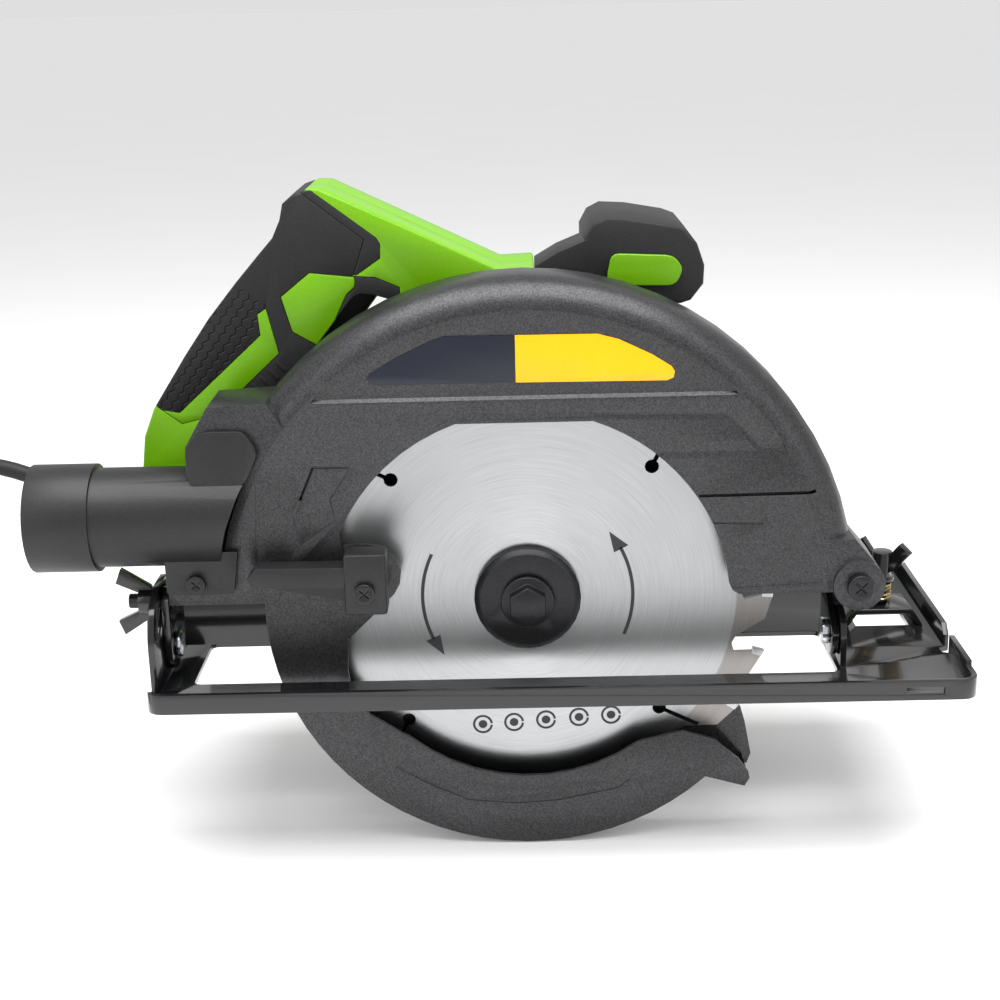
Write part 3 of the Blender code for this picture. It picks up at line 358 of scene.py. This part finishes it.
def grippedRubber(name, look):
    # the back of the grip has a moulded net of hexagons
    finish = surface(name, look)
    tree = finish.node_tree
    link = tree.links.new
    shader = tree.nodes["Principled BSDF"]
    place = addNode(tree, "TexCoord")
    centred = addNode(tree, "VectorMath", operation="SUBTRACT")
    centred.inputs[1].default_value = at(*look["netStart"])
    link(place.outputs["Object"], centred.inputs[0])
    axes = []
    for direction in (look["netAlong"], look["netAcross"]):
        part = addNode(tree, "VectorMath", operation="DOT_PRODUCT")
        part.inputs[1].default_value = direction
        link(centred.outputs["Vector"], part.inputs[0])
        axes.append(part)
    size = look["netSize"]
    grids = []
    for shift in (0.0, 0.5):
        halves = []
        for part, pitch in zip(axes, (size, size * look["netRatio"])):
            cells = addNode(tree, "Math", operation="MULTIPLY_ADD")
            cells.inputs[1].default_value = 1 / pitch
            cells.inputs[2].default_value = shift + look["netShift"]
            link(part.outputs["Value"], cells.inputs[0])
            wrapped = addNode(tree, "Math", operation="FRACT")
            link(cells.outputs["Value"], wrapped.inputs[0])
            middle = addNode(tree, "Math", operation="MULTIPLY_ADD")
            middle.inputs[1].default_value = pitch / size
            middle.inputs[2].default_value = -0.5 * pitch / size
            link(wrapped.outputs["Value"], middle.inputs[0])
            halves.append(middle)
        both = addNode(tree, "CombineXYZ")
        link(halves[0].outputs["Value"], both.inputs["X"])
        link(halves[1].outputs["Value"], both.inputs["Y"])
        far = addNode(tree, "VectorMath", operation="LENGTH")
        link(both.outputs["Vector"], far.inputs[0])
        grids.append(far)
    between = addNode(tree, "Math", operation="SUBTRACT")
    link(grids[0].outputs["Value"], between.inputs[0])
    link(grids[1].outputs["Value"], between.inputs[1])
    seam = addNode(tree, "Math", operation="ABSOLUTE")
    link(between.outputs["Value"], seam.inputs[0])
    raised = addNode(tree, "MapRange", {"From Min": 0.02, "From Max": 0.2}, interpolation_type="SMOOTHSTEP")
    link(seam.outputs["Value"], raised.inputs["Value"])
    deep, reach, fade = look["netDepth"], look["netReach"], look["netFade"]
    edge = addNode(tree, "MapRange", {"From Min": deep, "From Max": deep - fade})
    link(axes[1].outputs["Value"], edge.inputs["Value"])
    top = addNode(tree, "MapRange", {"From Min": reach, "From Max": reach - fade})
    link(axes[0].outputs["Value"], top.inputs["Value"])
    within = addNode(tree, "Math", operation="MULTIPLY")
    link(edge.outputs["Result"], within.inputs[0])
    link(top.outputs["Result"], within.inputs[1])
    flat = addNode(tree, "Mix", data_type="FLOAT")
    flat.inputs[2].default_value = 1.0
    link(within.outputs["Value"], flat.inputs["Factor"])
    link(raised.outputs["Result"], flat.inputs[3])
    grainBump = next(n for n in tree.nodes if n.bl_idname == "ShaderNodeBump")
    net = addNode(tree, "Bump", {"Strength": 1.0, "Distance": look["netBump"]})
    link(flat.outputs[0], net.inputs["Height"])
    link(grainBump.outputs["Normal"], net.inputs["Normal"])
    link(net.outputs["Normal"], shader.inputs["Normal"])
    return finish


gripLook = {
    **looks["black_rubber"],
    "netStart": (-139.0, 45.0, 71.0), "netAlong": (0.613, 0, 0.790), "netAcross": (0.790, 0, -0.613),
    "netSize": 0.0040, "netRatio": 1.732, "netShift": 100, "netBump": 0.0005,
    "netDepth": 0.0155, "netReach": 0.056, "netFade": 0.001,
}
finishes["grippedRubber"] = grippedRubber("grippedRubber", gripLook)
slotOf = {entry["node"]: entry["material_slot"] for entry in frame["record"]["subparts"]}


def paintFrameParts():
    for nodeName, node in frame["nodes"].items():
        finish = finishes[slotOf[nodeName]]
        if len(node.material_slots) == 0:
            node.data.materials.append(finish)
        for slotPlace in node.material_slots:
            slotPlace.material = finish


paintFrameParts()
print("finishes made")


# the mains lead goes straight out of the heel, over and down to the surface, and is wound beside the view
lead = {
    "radius": 3.25,
    "route": [
        (-193.5, 45.0, 37.3), (-207.0, 45.0, 41.8), (-221.0, 44.0, 43.5), (-235.0, 42.0, 38.0),
        (-246.0, 38.0, 24.0), (-252.5, 33.0, 2.0), (-257.0, 26.0, -28.0), (-263.0, 18.0, -62.0),
        (-274.0, 9.0, -86.5), (-292.0, 3.0, -94.2), (-312.0, 2.5, -94.4),
    ],
    "coilCentre": (-330.0, 44.6),
    "layers": (39.2, 32.8),
    "firstLevel": -94.1,
    "levelStep": 6.45,
    "turnPoints": 30,
    "startAngle": -96,
    "stepShare": 0.12,    # how much of a turn the step to the next layer takes
    "lastTurn": 84,
    "lastPoints": 8,
    "routePoints": 3,
    "tailPoints": 2,
    "tail": [
        (-371.0, 64, -76.2), (-374.0, 82, -82.5), (-375.6, 100, -90.2), (-376.0, 118, -93.8), (-376.0, 136, -94.1),
        (-375.6, 150, -94.1), (-372.6, 161.8, -94.1), (-364.4, 170.2, -94.1), (-353.0, 173.2, -94.0),
        (-341.6, 170.2, -93.0), (-333.4, 162.0, -90.6), (-330.3, 151, -87.0), (-330.0, 139.5, -84.2),
    ],
}


def smoothLine(points, steps):
    knots = [Vector(p) for p in points]
    knots = [2 * knots[0] - knots[1]] + knots + [2 * knots[-1] - knots[-2]]
    made = []
    for a, b, c, d in zip(knots, knots[1:], knots[2:], knots[3:]):
        for step in range(steps):
            t = step / steps
            bend, twist = 2 * a - 5 * b + 4 * c - d, 3 * b - a - 3 * c + d
            made.append(0.5 * (2 * b + (c - a) * t + bend * t**2 + twist * t**3))
    made.append(knots[-2])
    return made


def leadLine():
    # the cord's whole line: its route, its turns, and its end at the plug
    line = smoothLine(lead["route"], lead["routePoints"])
    cx, cy = lead["coilCentre"]
    order = [(0, 0), (1, 0), (1, 1), (0, 1), (0, 2), (1, 2), (1, 3), (0, 3)]
    places = [(lead["layers"][layer], lead["firstLevel"] + lead["levelStep"] * level) for layer, level in order]
    count, begin = lead["turnPoints"], lead["startAngle"]
    for turn, (reach, height) in enumerate(places):
        before = places[turn - 1] if turn else (reach, height)
        for step in range(count):
            t = min(1.0, step / (count * lead["stepShare"]))
            t = t * t * (3 - 2 * t)
            angle = math.radians(begin) - 2 * math.pi * step / count
            radius = before[0] + (reach - before[0]) * t
            level = before[1] + (height - before[1]) * t
            line.append(Vector((cx + radius * math.cos(angle), cy + radius * math.sin(angle), level)))
    reach, height = places[-1]
    for step in range(lead["lastPoints"]):    # part of a last turn, and then round behind the plug and into it
        angle = math.radians(begin - lead["lastTurn"] * step / lead["lastPoints"])
        line.append(Vector((cx + reach * math.cos(angle), cy + reach * math.sin(angle), height)))
    line += smoothLine([(cx - reach, cy, height)] + lead["tail"], lead["tailPoints"])
    return [at(*p) for p in line]


def mainsLead():
    points = leadLine()
    curve = bpy.data.curves.new("MainsLead", "CURVE")
    curve.dimensions = "3D"
    curve.bevel_depth = lead["radius"] / 1000
    curve.bevel_resolution = 4
    curve.use_fill_caps = True
    spline = curve.splines.new("POLY")
    spline.points.add(len(points) - 1)
    for point, place in zip(spline.points, points):
        point.co = (*place, 1)
    tube = bpy.data.objects.new("mainsLead", curve)
    sceneTree.objects.link(tube)
    curve.materials.append(finishes["black_rubber"])
    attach(tube, bodyOf["power_cord"])
    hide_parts("power_cord", "cord_coil")
    length = sum((b - a).length for a, b in zip(points, points[1:]))
    print("lead length", round(length, 3))
    return tube, points[0], length


# how much each piece's edges are rounded, in millimetres; parts not named here stay as the frame has them
edgeWidths = {
    "upper_guard": 0.35, "lower_guard": 0.35, "shoe": 0.45, "dust_port": 0.5, "gear_case": 0.8, "guard_lever": 0.5,
    "handle_shell_near": 0.5, "handle_shell_far": 0.5, "grip_overmold": 0.5, "front_handle": 1.2,
    "front_handle_inset": 0.5, "motor_housing": 0.5, "fence_strap": 0.35, "motor_end_cap": 0.6,
    "brush_cap_front": 0.3, "brush_cap_rear": 0.3, "trigger": 0.3, "lock_off_button": 0.2, "depth_quadrant": 0.35,
    "front_link": 0.35, "depth_lock_lever": 0.8, "depth_lock_bolt": 0.3, "depth_pivot_screw": 0.5,
    "depth_pivot_nut": 0.3, "bevel_wing_nut": 0.6, "bevel_stud": 0.2, "bevel_rivet_front": 0.6,
    "bevel_rivet_rear": 0.6, "fence_clamp_screw": 0.4, "outer_flange": 0.25, "inner_flange": 0.2,
    "blade_bolt": 0.45, "dust_port_screw": 0.5, "guard_lever_screw": 0.5, "spindle_lock_button": 0.3,
    "strain_relief": 0.3, "mains_plug": 0.4,
}


def pieceFrom(nodeName, cutters=(), finish=None, keep=None, name=None, angle=None):
    # a copy of a part, with cutters taken out of it, or only what lies within keep
    node = frame["nodes"][nodeName]
    mesh = node.data.copy()
    mesh.name = nodeName + "Shape"
    piece = bpy.data.objects.new(name or "saw_" + nodeName, mesh)
    sceneTree.objects.link(piece)
    pick(piece)
    bpy.ops.object.mode_set(mode="EDIT")
    bpy.ops.mesh.select_all(action="SELECT")
    bpy.ops.mesh.remove_doubles(threshold=meshing["weld"])
    bpy.ops.mesh.dissolve_limited(angle_limit=math.radians(meshing["flatAngle"]))
    bpy.ops.object.mode_set(mode="OBJECT")
    tools = [(cutter, "DIFFERENCE") for cutter in cutters] + ([(keep, "INTERSECT")] if keep else [])
    for tool, operation in tools:
        carve = piece.modifiers.new("Carve", "BOOLEAN")
        carve.operation = operation
        carve.solver = "EXACT"
        carve.object = tool
    if tools:
        applyModifiers(piece)
        for tool, operation in tools:
            bpy.data.objects.remove(tool)
    roundEdges(piece, edgeWidths[nodeName])
    smooth(piece, angle or meshing["smoothAngle"])
    paint(piece, finish or finishes[slotOf[nodeName]])
    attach(piece, bodyOf[nodeName])
    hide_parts(nodeName)
    return piece


def flatBlock(name, outline, near, far, rounding=0.0, steps=3):
    # a flat outline drawn from one depth to another, its rims rounded
    curve = bpy.data.curves.new(name, "CURVE")
    curve.dimensions = "2D"
    curve.fill_mode = "BOTH"
    curve.extrude = (far - near) / 2 - rounding
    curve.bevel_depth = rounding
    curve.bevel_resolution = steps
    curve.offset = -rounding
    spline = curve.splines.new("POLY")
    spline.points.add(len(outline) - 1)
    for point, (x, z) in zip(spline.points, outline):
        point.co = (x, z, 0, 1)
    spline.use_cyclic_u = True
    block = bpy.data.objects.new(name, curve)
    sceneTree.objects.link(block)
    pick(block)
    bpy.ops.object.convert(target="MESH")
    block = bpy.context.object
    upright = Matrix(((1, 0, 0, 0), (0, 0, -1, 0), (0, 1, 0, 0), (0, 0, 0, 1)))
    middle = Matrix.Translation((0, (near + far) / 2, 0))
    block.data.transform(Matrix.Translation(arbor) @ Matrix.Scale(0.001, 4) @ middle @ upright)
    bpy.ops.object.mode_set(mode="EDIT")
    bpy.ops.mesh.select_all(action="SELECT")
    bpy.ops.mesh.remove_doubles(threshold=meshing["outlineWeld"])
    bpy.ops.mesh.normals_make_consistent(inside=False)
    bpy.ops.object.mode_set(mode="OBJECT")
    return block


def ringPoints(radius, start, end, steps, centre=(0, 0)):
    made = []
    for step in range(steps + 1):
        angle = math.radians(start + (end - start) * step / steps)
        made.append((centre[0] + radius * math.cos(angle), centre[1] + radius * math.sin(angle)))
    return made


def strip(line, width):
    # an outline of even width along a run of points
    left, right = [], []
    for index, point in enumerate(line):
        before = Vector(line[max(0, index - 1)])
        after = Vector(line[min(len(line) - 1, index + 1)])
        way = (after - before).normalized()
        side = Vector((-way.y, way.x)) * width / 2
        left.append((point[0] + side.x, point[1] + side.y))
        right.append((point[0] - side.x, point[1] - side.y))
    return left + right[::-1]


def finishPiece(piece, finish, body):
    smooth(piece)
    paint(piece, finish)
    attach(piece, body)
    return piece


# the upper guard's pressed steps and lines, its arrow and its sticker, in millimetres from the blade's centre
guardLines = {
    "front": -14.0,
    "ahead": 1,    # how far in front of the guard a cutter starts
    "smoothAngle": 30,
    "topStep": {"depth": 1.8, "slope": 1.0, "line": 80.0, "reach": 110.6},
    "sideStep": {
        "depth": 0.65, "slope": 1.9, "line": 58.2, "inset": 0.05, "left": 152.0,
        "inner": [(-100, 3), (-60, 3), (30.0, 40), (30.0, 58.2)],
    },
    "faintExtra": 0.3,
    "faintStep": [(25, 72), (71.7, 71.3), (82.6, 58.5), (84.2, 59.4), (73.0, 73.2), (25, 73.8)],
    "lowStep": {"depth": 0.45, "line": 41.6, "reach": 108.5, "start": 4, "inner": [(40, 41.6), (40, 4.6)]},
    "lineSize": (1.2, 1.0),    # width and depth
    "lines": [
        [(62.5, 41.7), (103.5, 42.2), (107.5, 43.6)],
        [(67.6, 31.5), (86.1, 30.9)],
    ],
    "arrowSize": (1.0, 1.25),
    "arrow": [
        (-76.2, 55.4), (-62.9, 55.1), (-70.7, 43.3), (-69.3, 35.7), (-82.6, 26.4), (-84.4, 37.9), (-81.5, 43.5),
    ],
    "sticker": [
        (-51.5, 84.7), (-54.1, 85.3), (-55.6, 87.0), (-54.6, 88.9), (-45.0, 94.6), (-33.0, 100.2), (-27.4, 102),
        (26.5, 101.7), (34.0, 99.6), (45.5, 94.0), (52.4, 89.6), (53.7, 87.6), (53.2, 85.4), (50.9, 84.4),
    ],
    "stickerSplit": -2.7,
    "stickerGap": 0.02,
    "stickerRims": (84.8, 101.85),
    "stickerDepths": (-0.22, -0.02),
    "stickerRound": 0.05,
}


def slantFoot(block, front, height, drop):
    # the cutter's front lower edge is pulled down, so that the step it leaves slopes
    pick(block)
    bpy.ops.object.mode_set(mode="EDIT")
    bpy.ops.mesh.select_all(action="DESELECT")
    bpy.ops.object.mode_set(mode="OBJECT")
    edgeFront = arbor.y + (front + 0.01) / 1000
    edgeTop = arbor.z + (height + 0.4) / 1000
    for corner in block.data.vertices:
        corner.select = corner.co.y < edgeFront and corner.co.z < edgeTop
    bpy.ops.object.mode_set(mode="EDIT")
    bpy.ops.transform.translate(value=(0, 0, -drop / 1000))
    bpy.ops.object.mode_set(mode="OBJECT")
    return block


def guardCutters():
    front = guardLines["front"]
    start = front - guardLines["ahead"]
    cutters = []
    step = guardLines["topStep"]
    level = math.degrees(math.asin(step["line"] / step["reach"]))
    cap = ringPoints(step["reach"], level, 180 - level, 40)
    top = flatBlock("topStep", cap, start, front + step["depth"])
    cutters.append(slantFoot(top, start, step["line"], step["slope"] * (1 + step["depth"])))
    side = guardLines["sideStep"]
    low = math.degrees(math.asin(side["line"] / step["reach"]))
    band = ringPoints(step["reach"] - side["inset"], low, side["left"], 50) + side["inner"]
    middle = flatBlock("sideStep", band, start, front + side["depth"])
    cutters.append(slantFoot(middle, start, side["line"], side["slope"] * (1 + side["depth"])))
    faintDepth = side["depth"] + guardLines["faintExtra"]
    cutters.append(flatBlock("faintStep", guardLines["faintStep"], start, front + faintDepth))
    foot = guardLines["lowStep"]
    bottom = math.degrees(math.asin(foot["line"] / step["reach"]))
    lowBand = ringPoints(foot["reach"], foot["start"], bottom, 16) + foot["inner"]
    cutters.append(flatBlock("lowStep", lowBand, start, front + foot["depth"]))
    width, depth = guardLines["lineSize"]
    for index, line in enumerate(guardLines["lines"]):
        cutters.append(flatBlock(f"line{index}", strip(line, width), start, front + depth))
    width, depth = guardLines["arrowSize"]
    arrow = guardLines["arrow"]
    outline = arrow + arrow[:1]
    for index in range(len(arrow)):
        cutters.append(flatBlock(f"arrow{index}", strip(outline[index:index + 2], width), start, front + depth))
    return cutters


def sticker():
    split = guardLines["stickerSplit"]
    bottom, top = guardLines["stickerRims"]
    outline = guardLines["sticker"]
    dark = [p for p in outline if p[0] < split] + [(split, top), (split, bottom)]
    beside = split + guardLines["stickerGap"]
    bright = [(beside, bottom), (beside, top)] + [p for p in outline if p[0] > split]
    face = guardLines["front"] + guardLines["topStep"]["depth"]
    near, far = [face + depth for depth in guardLines["stickerDepths"]]
    for name, shape, finish in (("stickerDark", dark, "stickerDark"), ("stickerBright", bright, "stickerYellow")):
        plate = flatBlock(name, shape, near, far, guardLines["stickerRound"], 1)
        finishPiece(plate, finishes[finish], bodyOf["upper_guard"])


# ink marks and carbide tips on the blade
bladeMarks = {
    "face": -0.9,
    "inkDepths": (-0.04, -0.005),
    "arrowReach": 39.5,
    "arrowWidth": 1.3,
    "arrowSpans": [(154, 205), (-24, 28)],
    "headHalf": 3.0,
    "headTurn": 11,
    "headBack": 1,
    "dots": [(-18.2, -52.1), (-6.2, -51.5), (6.1, -50.7), (18.8, -49.9), (31.1, -49.2)],
    "dotRadius": 3.4,
    "dotWidth": 0.9,
    "dotRing": (5, 355, 28),
    "dotCore": (0, 340, 17),
    "coreShare": 0.5,
    "teeth": 24,
    "tipRadius": 92.5,
    "tipSize": (2.4, 4.6),
    "tipHalf": 1.15,
    "tipRound": 0.1,
}


def inkPiece(name, outline):
    near, far = [bladeMarks["face"] + depth for depth in bladeMarks["inkDepths"]]
    return finishPiece(flatBlock(name, outline, near, far), finishes["ink"], bodyOf["saw_blade"])


def bladeArrows():
    reach, half, back = bladeMarks["arrowReach"], bladeMarks["headHalf"], bladeMarks["headBack"]
    for index, (start, end) in enumerate(bladeMarks["arrowSpans"]):
        inkPiece(f"bladeArrow{index}", strip(ringPoints(reach, start, end, 20), bladeMarks["arrowWidth"]))
        tip = ringPoints(reach, end, end + bladeMarks["headTurn"], 1)[1]
        base = ringPoints(reach - half, end - back, end, 1)[0]
        outer = ringPoints(reach + half, end - back, end, 1)[0]
        inkPiece(f"bladeArrowHead{index}", [base, tip, outer])


def bladeDots():
    # a row of plain printed rings, each with a solid middle
    radius = bladeMarks["dotRadius"]
    for index, centre in enumerate(bladeMarks["dots"]):
        inkPiece(f"bladeRing{index}", strip(ringPoints(radius, *bladeMarks["dotRing"], centre), bladeMarks["dotWidth"]))
        inkPiece(f"bladeDot{index}", ringPoints(radius * bladeMarks["coreShare"], *bladeMarks["dotCore"], centre))


def carbideTips():
    radius = bladeMarks["tipRadius"]
    wide, deep = bladeMarks["tipSize"]
    shape = [(radius - 0.15, 0.1), (radius - 0.5, -wide), (radius - deep, -wide + 0.2), (radius - deep, 0.1)]
    first = flatBlock("carbideTip", shape, -bladeMarks["tipHalf"], bladeMarks["tipHalf"])
    roundEdges(first, bladeMarks["tipRound"], 1)
    master = first.data
    tips = []
    for index in range(bladeMarks["teeth"]):
        mesh = master.copy()
        turn = Matrix.Rotation(math.radians(360 / bladeMarks["teeth"]) * index, 4, "Y")
        mesh.transform(Matrix.Translation(arbor) @ turn @ Matrix.Translation(-arbor))
        tip = bpy.data.objects.new(f"carbideTip{index}", mesh)
        sceneTree.objects.link(tip)
        tips.append(tip)
    bpy.data.objects.remove(first)
    deselectAll()
    for tip in tips:
        tip.select_set(True)
    bpy.context.view_layer.objects.active = tips[0]
    bpy.ops.object.join()
    joined = bpy.context.object
    joined.name = "carbideTips"
    finishPiece(joined, finishes["carbide"], bodyOf["saw_blade"])


# green panels let into the black grip, black caps let into the shells above it, and the ribs
gripInlays = {
    "stripe": [
        (-98.6, 104.4), (-95.4, 106.4), (-91.6, 89.4), (-128.0, 56.1), (-131.0, 53.0),
        (-141, 60), (-137, 68.4), (-130.6, 67.2), (-98.0, 96.4),
    ],
    "panel": [
        (-61.8, 117.6), (-78.4, 119.5), (-89.6, 110.7), (-86.0, 97.5), (-77.2, 92.2), (-72.6, 96.0),
        (-64.9, 111.2), (-61.9, 113.7), (-61.6, 116.2),
    ],
    "seam": 0.22,
    "pocketDepths": (29.5, 60.5),    # where the pockets end, near and far
    "inlayDepths": (29.2, 60.8),
    "headFill": [
        (-80.3, 149.6), (-76.2, 149.6), (-53.0, 131.9), (-51.7, 129.6), (-51.9, 124.3), (-60.8, 118.3), (-63.5, 118.3),
    ],
    "headSeam": 0.1,
    "headDepths": (44.8, 45.2),    # where the two caps meet
    "outside": (20, 70),    # depths on either side of the whole grip
    "ribs": 9,
    "ribStart": (-118.0, 63.8),
    "ribStep": (3.15, 2.85),
    "ribSize": (1.5, 5.4),
    "ribDepths": (24.55, 26.0),
    "ribRound": 0.3,
}


def grown(outline, amount):
    # an outline moved outwards by an even amount
    area = sum(a[0] * b[1] - b[0] * a[1] for a, b in zip(outline, outline[1:] + outline[:1]))
    way = 1 if area > 0 else -1
    made = []
    for index, point in enumerate(outline):
        before = (Vector(point) - Vector(outline[index - 1])).normalized()
        after = (Vector(outline[(index + 1) % len(outline)]) - Vector(point)).normalized()
        first = Vector((before.y, -before.x)) * way
        second = Vector((after.y, -after.x)) * way
        middle = (first + second).normalized()
        reach = amount / max(0.4, middle.dot(first))
        made.append((point[0] + middle.x * reach, point[1] + middle.y * reach))
    return made


def gripPieces():
    near, far = gripInlays["outside"]
    fill, gap = gripInlays["headFill"], gripInlays["headSeam"]
    nearEnd, farEnd = gripInlays["headDepths"]
    for side, span in (("near", (near, nearEnd)), ("far", (farEnd, far))):
        pieceFrom(f"handle_shell_{side}", [flatBlock("headCut", grown(fill, gap), near, far)])
        keep = flatBlock("headKeep", grown(fill, -gap), *span)
        pieceFrom(f"handle_shell_{side}", (), finishes["black_rubber"], keep, f"headRubber_{side}")
    nearEnd, farEnd = gripInlays["pocketDepths"]
    cutters = []
    for name in ("stripe", "panel"):
        pocket = grown(gripInlays[name], gripInlays["seam"])
        cutters.append(flatBlock(name + "Pocket", pocket, near, nearEnd))
        cutters.append(flatBlock(name + "PocketFar", pocket, farEnd, far))
    pieceFrom("grip_overmold", cutters, finishes["grippedRubber"])
    nearEnd, farEnd = gripInlays["inlayDepths"]
    for name in ("stripe", "panel"):
        for side, span in (("Near", (near, nearEnd)), ("Far", (farEnd, far))):
            keep = flatBlock(name + "Keep", gripInlays[name], *span)
            pieceFrom("grip_overmold", (), finishes["green_plastic"], keep, name + side)
    ribWide, ribLong = gripInlays["ribSize"]
    startX, startZ = gripInlays["ribStart"]
    stepX, stepZ = gripInlays["ribStep"]
    way = Vector((stepX, stepZ)).normalized()
    across = Vector((way.y, -way.x))
    for index in range(gripInlays["ribs"]):
        spot = Vector((startX + stepX * index, startZ + stepZ * index))
        line = [tuple(spot), tuple(spot + across * ribLong)]
        rib = flatBlock(f"gripRib{index}", strip(line, ribWide), *gripInlays["ribDepths"], gripInlays["ribRound"], 1)
        finishPiece(rib, finishes["black_rubber"], bodyOf["grip_overmold"])


# the lower guard's sunk panel
guardPanel = {
    "depths": (-11.5, -10.0),
    "outline": [
        (-47.6, -60.3), (-51.6, -64.9), (-37, -73.5), (-23.8, -79.4), (-6, -81.2), (10.8, -80.1), (33, -75.5),
        (37.7, -71.8), (24, -74.0), (10.9, -74.8), (-6, -74.6), (-23.6, -71.8), (-36, -67.0),
    ],
}


def lowerGuard():
    pieceFrom("lower_guard", [flatBlock("engraved", guardPanel["outline"], *guardPanel["depths"])])


# air slots in the motor's end cap and in the two sides of its housing
motorVents = {
    "centre": (-6.64, 24.78),
    "capSlots": 14,
    "capReach": (15, 30),
    "capWidth": 2.6,
    "capSpan": (170, 186),
    "sideSlots": 10,
    "sideStarts": (8, 128),
    "sideTurn": 5,
    "sideReach": (40.5, 47.5),
    "sideWidth": 2.6,
    "sideSpan": (118, 134),
}


def ventSlot(name, turn, reaches, width, span):
    ends = [ringPoints(reach, turn, turn + 1, 1, motorVents["centre"])[0] for reach in reaches]
    return flatBlock(name, strip(ends, width), *span)


def motorPieces():
    vents = motorVents
    capSlots = []
    for index in range(vents["capSlots"]):
        turn = 360 / vents["capSlots"] * index
        capSlots.append(ventSlot(f"capSlot{index}", turn, vents["capReach"], vents["capWidth"], vents["capSpan"]))
    pieceFrom("motor_end_cap", capSlots)
    sideSlots = []
    for index in range(vents["sideSlots"]):
        for start in vents["sideStarts"]:
            turn = start + vents["sideTurn"] * index
            slot = ventSlot(f"sideSlot{index}", turn, vents["sideReach"], vents["sideWidth"], vents["sideSpan"])
            sideSlots.append(slot)
    pieceFrom("motor_housing", sideSlots)


# cross recesses: the middle of each head across and up, its face and its radius
screwHeads = {
    "dust_port_screw": (-120.8, 13.3, -19.0, 3.3),
    "guard_lever_screw": (-58.5, 12.4, -30.0, 3.75),
    "depth_pivot_screw": (121.3, 6.8, -19.2, 4.8),
}
crossRecess = {"wide": 0.75, "long": 0.62, "deep": 1.0, "ahead": 0.5, "turns": (45, 135)}


def crossCutters(x, z, face, radius):
    made = []
    for index, turn in enumerate(crossRecess["turns"]):
        line = ringPoints(radius * crossRecess["long"], turn, turn + 180, 1, (x, z))
        slot = strip(line, crossRecess["wide"])
        made.append(flatBlock(f"cross{index}", slot, face - crossRecess["ahead"], face + crossRecess["deep"]))
    return made


def plainPieces():
    # whatever has not been made yet gets its rounded edges and nothing else
    for partName in edgeWidths:
        if "saw_" + partName not in bpy.data.objects:
            pieceFrom(partName)


roomSet = {
    "softboxes": {
        "TopSoftbox": {"place": (0.0, -0.16, 0.95), "aim": (0, 0.02, 0.03), "size": (1.2, 0.8), "power": 19},
        "LeftSoftbox": {"place": (-0.9, -0.75, 0.55), "aim": (-0.02, 0, 0.03), "size": (0.5, 0.9), "power": 2.0},
        "RightSoftbox": {"place": (0.95, -0.55, 0.5), "aim": (0.03, 0, 0.03), "size": (0.5, 0.9), "power": 2.0},
    },
    "floorSize": 90,
    "floorDrop": 0.0004,    # just clear of the lowest point
    "floorTones": (0.86, 0.90),
    "floorMottle": 6.0,
    "floorRough": 0.75,
    "floorGlow": 0.09,    # brings the far floor up to the tone of the room
    "roomLight": 0.74,
}


def softbox(name, lamp):
    bpy.ops.object.light_add(type="AREA", location=lamp["place"])
    light = bpy.context.object
    light.name = name
    light.data.shape = "RECTANGLE"
    light.data.size, light.data.size_y = lamp["size"]
    light.data.energy = lamp["power"]
    light.rotation_euler = (Vector(lamp["aim"]) - Vector(lamp["place"])).to_track_quat("-Z", "Y").to_euler()


def paleFloor():
    bpy.ops.mesh.primitive_plane_add(size=roomSet["floorSize"], location=(0, 0, cadBox[0][2] - roomSet["floorDrop"]))
    floor = bpy.context.object
    floor.name = "Floor"
    pale = bpy.data.materials.new("paleFloor")
    pale.use_nodes = True
    tree = pale.node_tree
    shader = tree.nodes["Principled BSDF"]
    place = addNode(tree, "TexCoord")
    mottle = addNode(tree, "TexNoise", {"Scale": roomSet["floorMottle"], "Detail": 3.0})
    tree.links.new(place.outputs["Object"], mottle.inputs["Vector"])
    tone = addNode(tree, "ValToRGB")
    for stop, gray in zip(tone.color_ramp.elements, roomSet["floorTones"]):
        stop.color = (gray, gray, gray, 1)
    tree.links.new(mottle.outputs["Fac"], tone.inputs["Fac"])
    tree.links.new(tone.outputs["Color"], shader.inputs["Base Color"])
    shader.inputs["Roughness"].default_value = roomSet["floorRough"]
    shader.inputs["Emission Color"].default_value = (1, 1, 1, 1)
    shader.inputs["Emission Strength"].default_value = roomSet["floorGlow"]
    floor.data.materials.append(pale)


def studio():
    for name, lamp in roomSet["softboxes"].items():
        softbox(name, lamp)
    paleFloor()
    world = bpy.data.worlds.new("PaleRoom")
    world.use_nodes = True
    world.node_tree.nodes["Background"].inputs["Color"].default_value = (1, 1, 1, 1)
    world.node_tree.nodes["Background"].inputs["Strength"].default_value = roomSet["roomLight"]
    bpy.context.scene.world = world
    bpy.context.scene.view_settings.view_transform = "Standard"


tube, leadExit, leadLength = mainsLead()
plug = pieceFrom("mains_plug")
relief = pieceFrom("strain_relief")
print("lead laid")
pieceFrom("upper_guard", guardCutters(), angle=guardLines["smoothAngle"])
sticker()
print("guard pressed")
bladeArrows()
bladeDots()
carbideTips()
print("blade marked")
gripPieces()
print("grip inlaid")
lowerGuard()
for screwName, head in screwHeads.items():
    pieceFrom(screwName, crossCutters(*head))
motorPieces()
print("motor vented")
plainPieces()
print("parts finished")
studio()
print("studio lit")
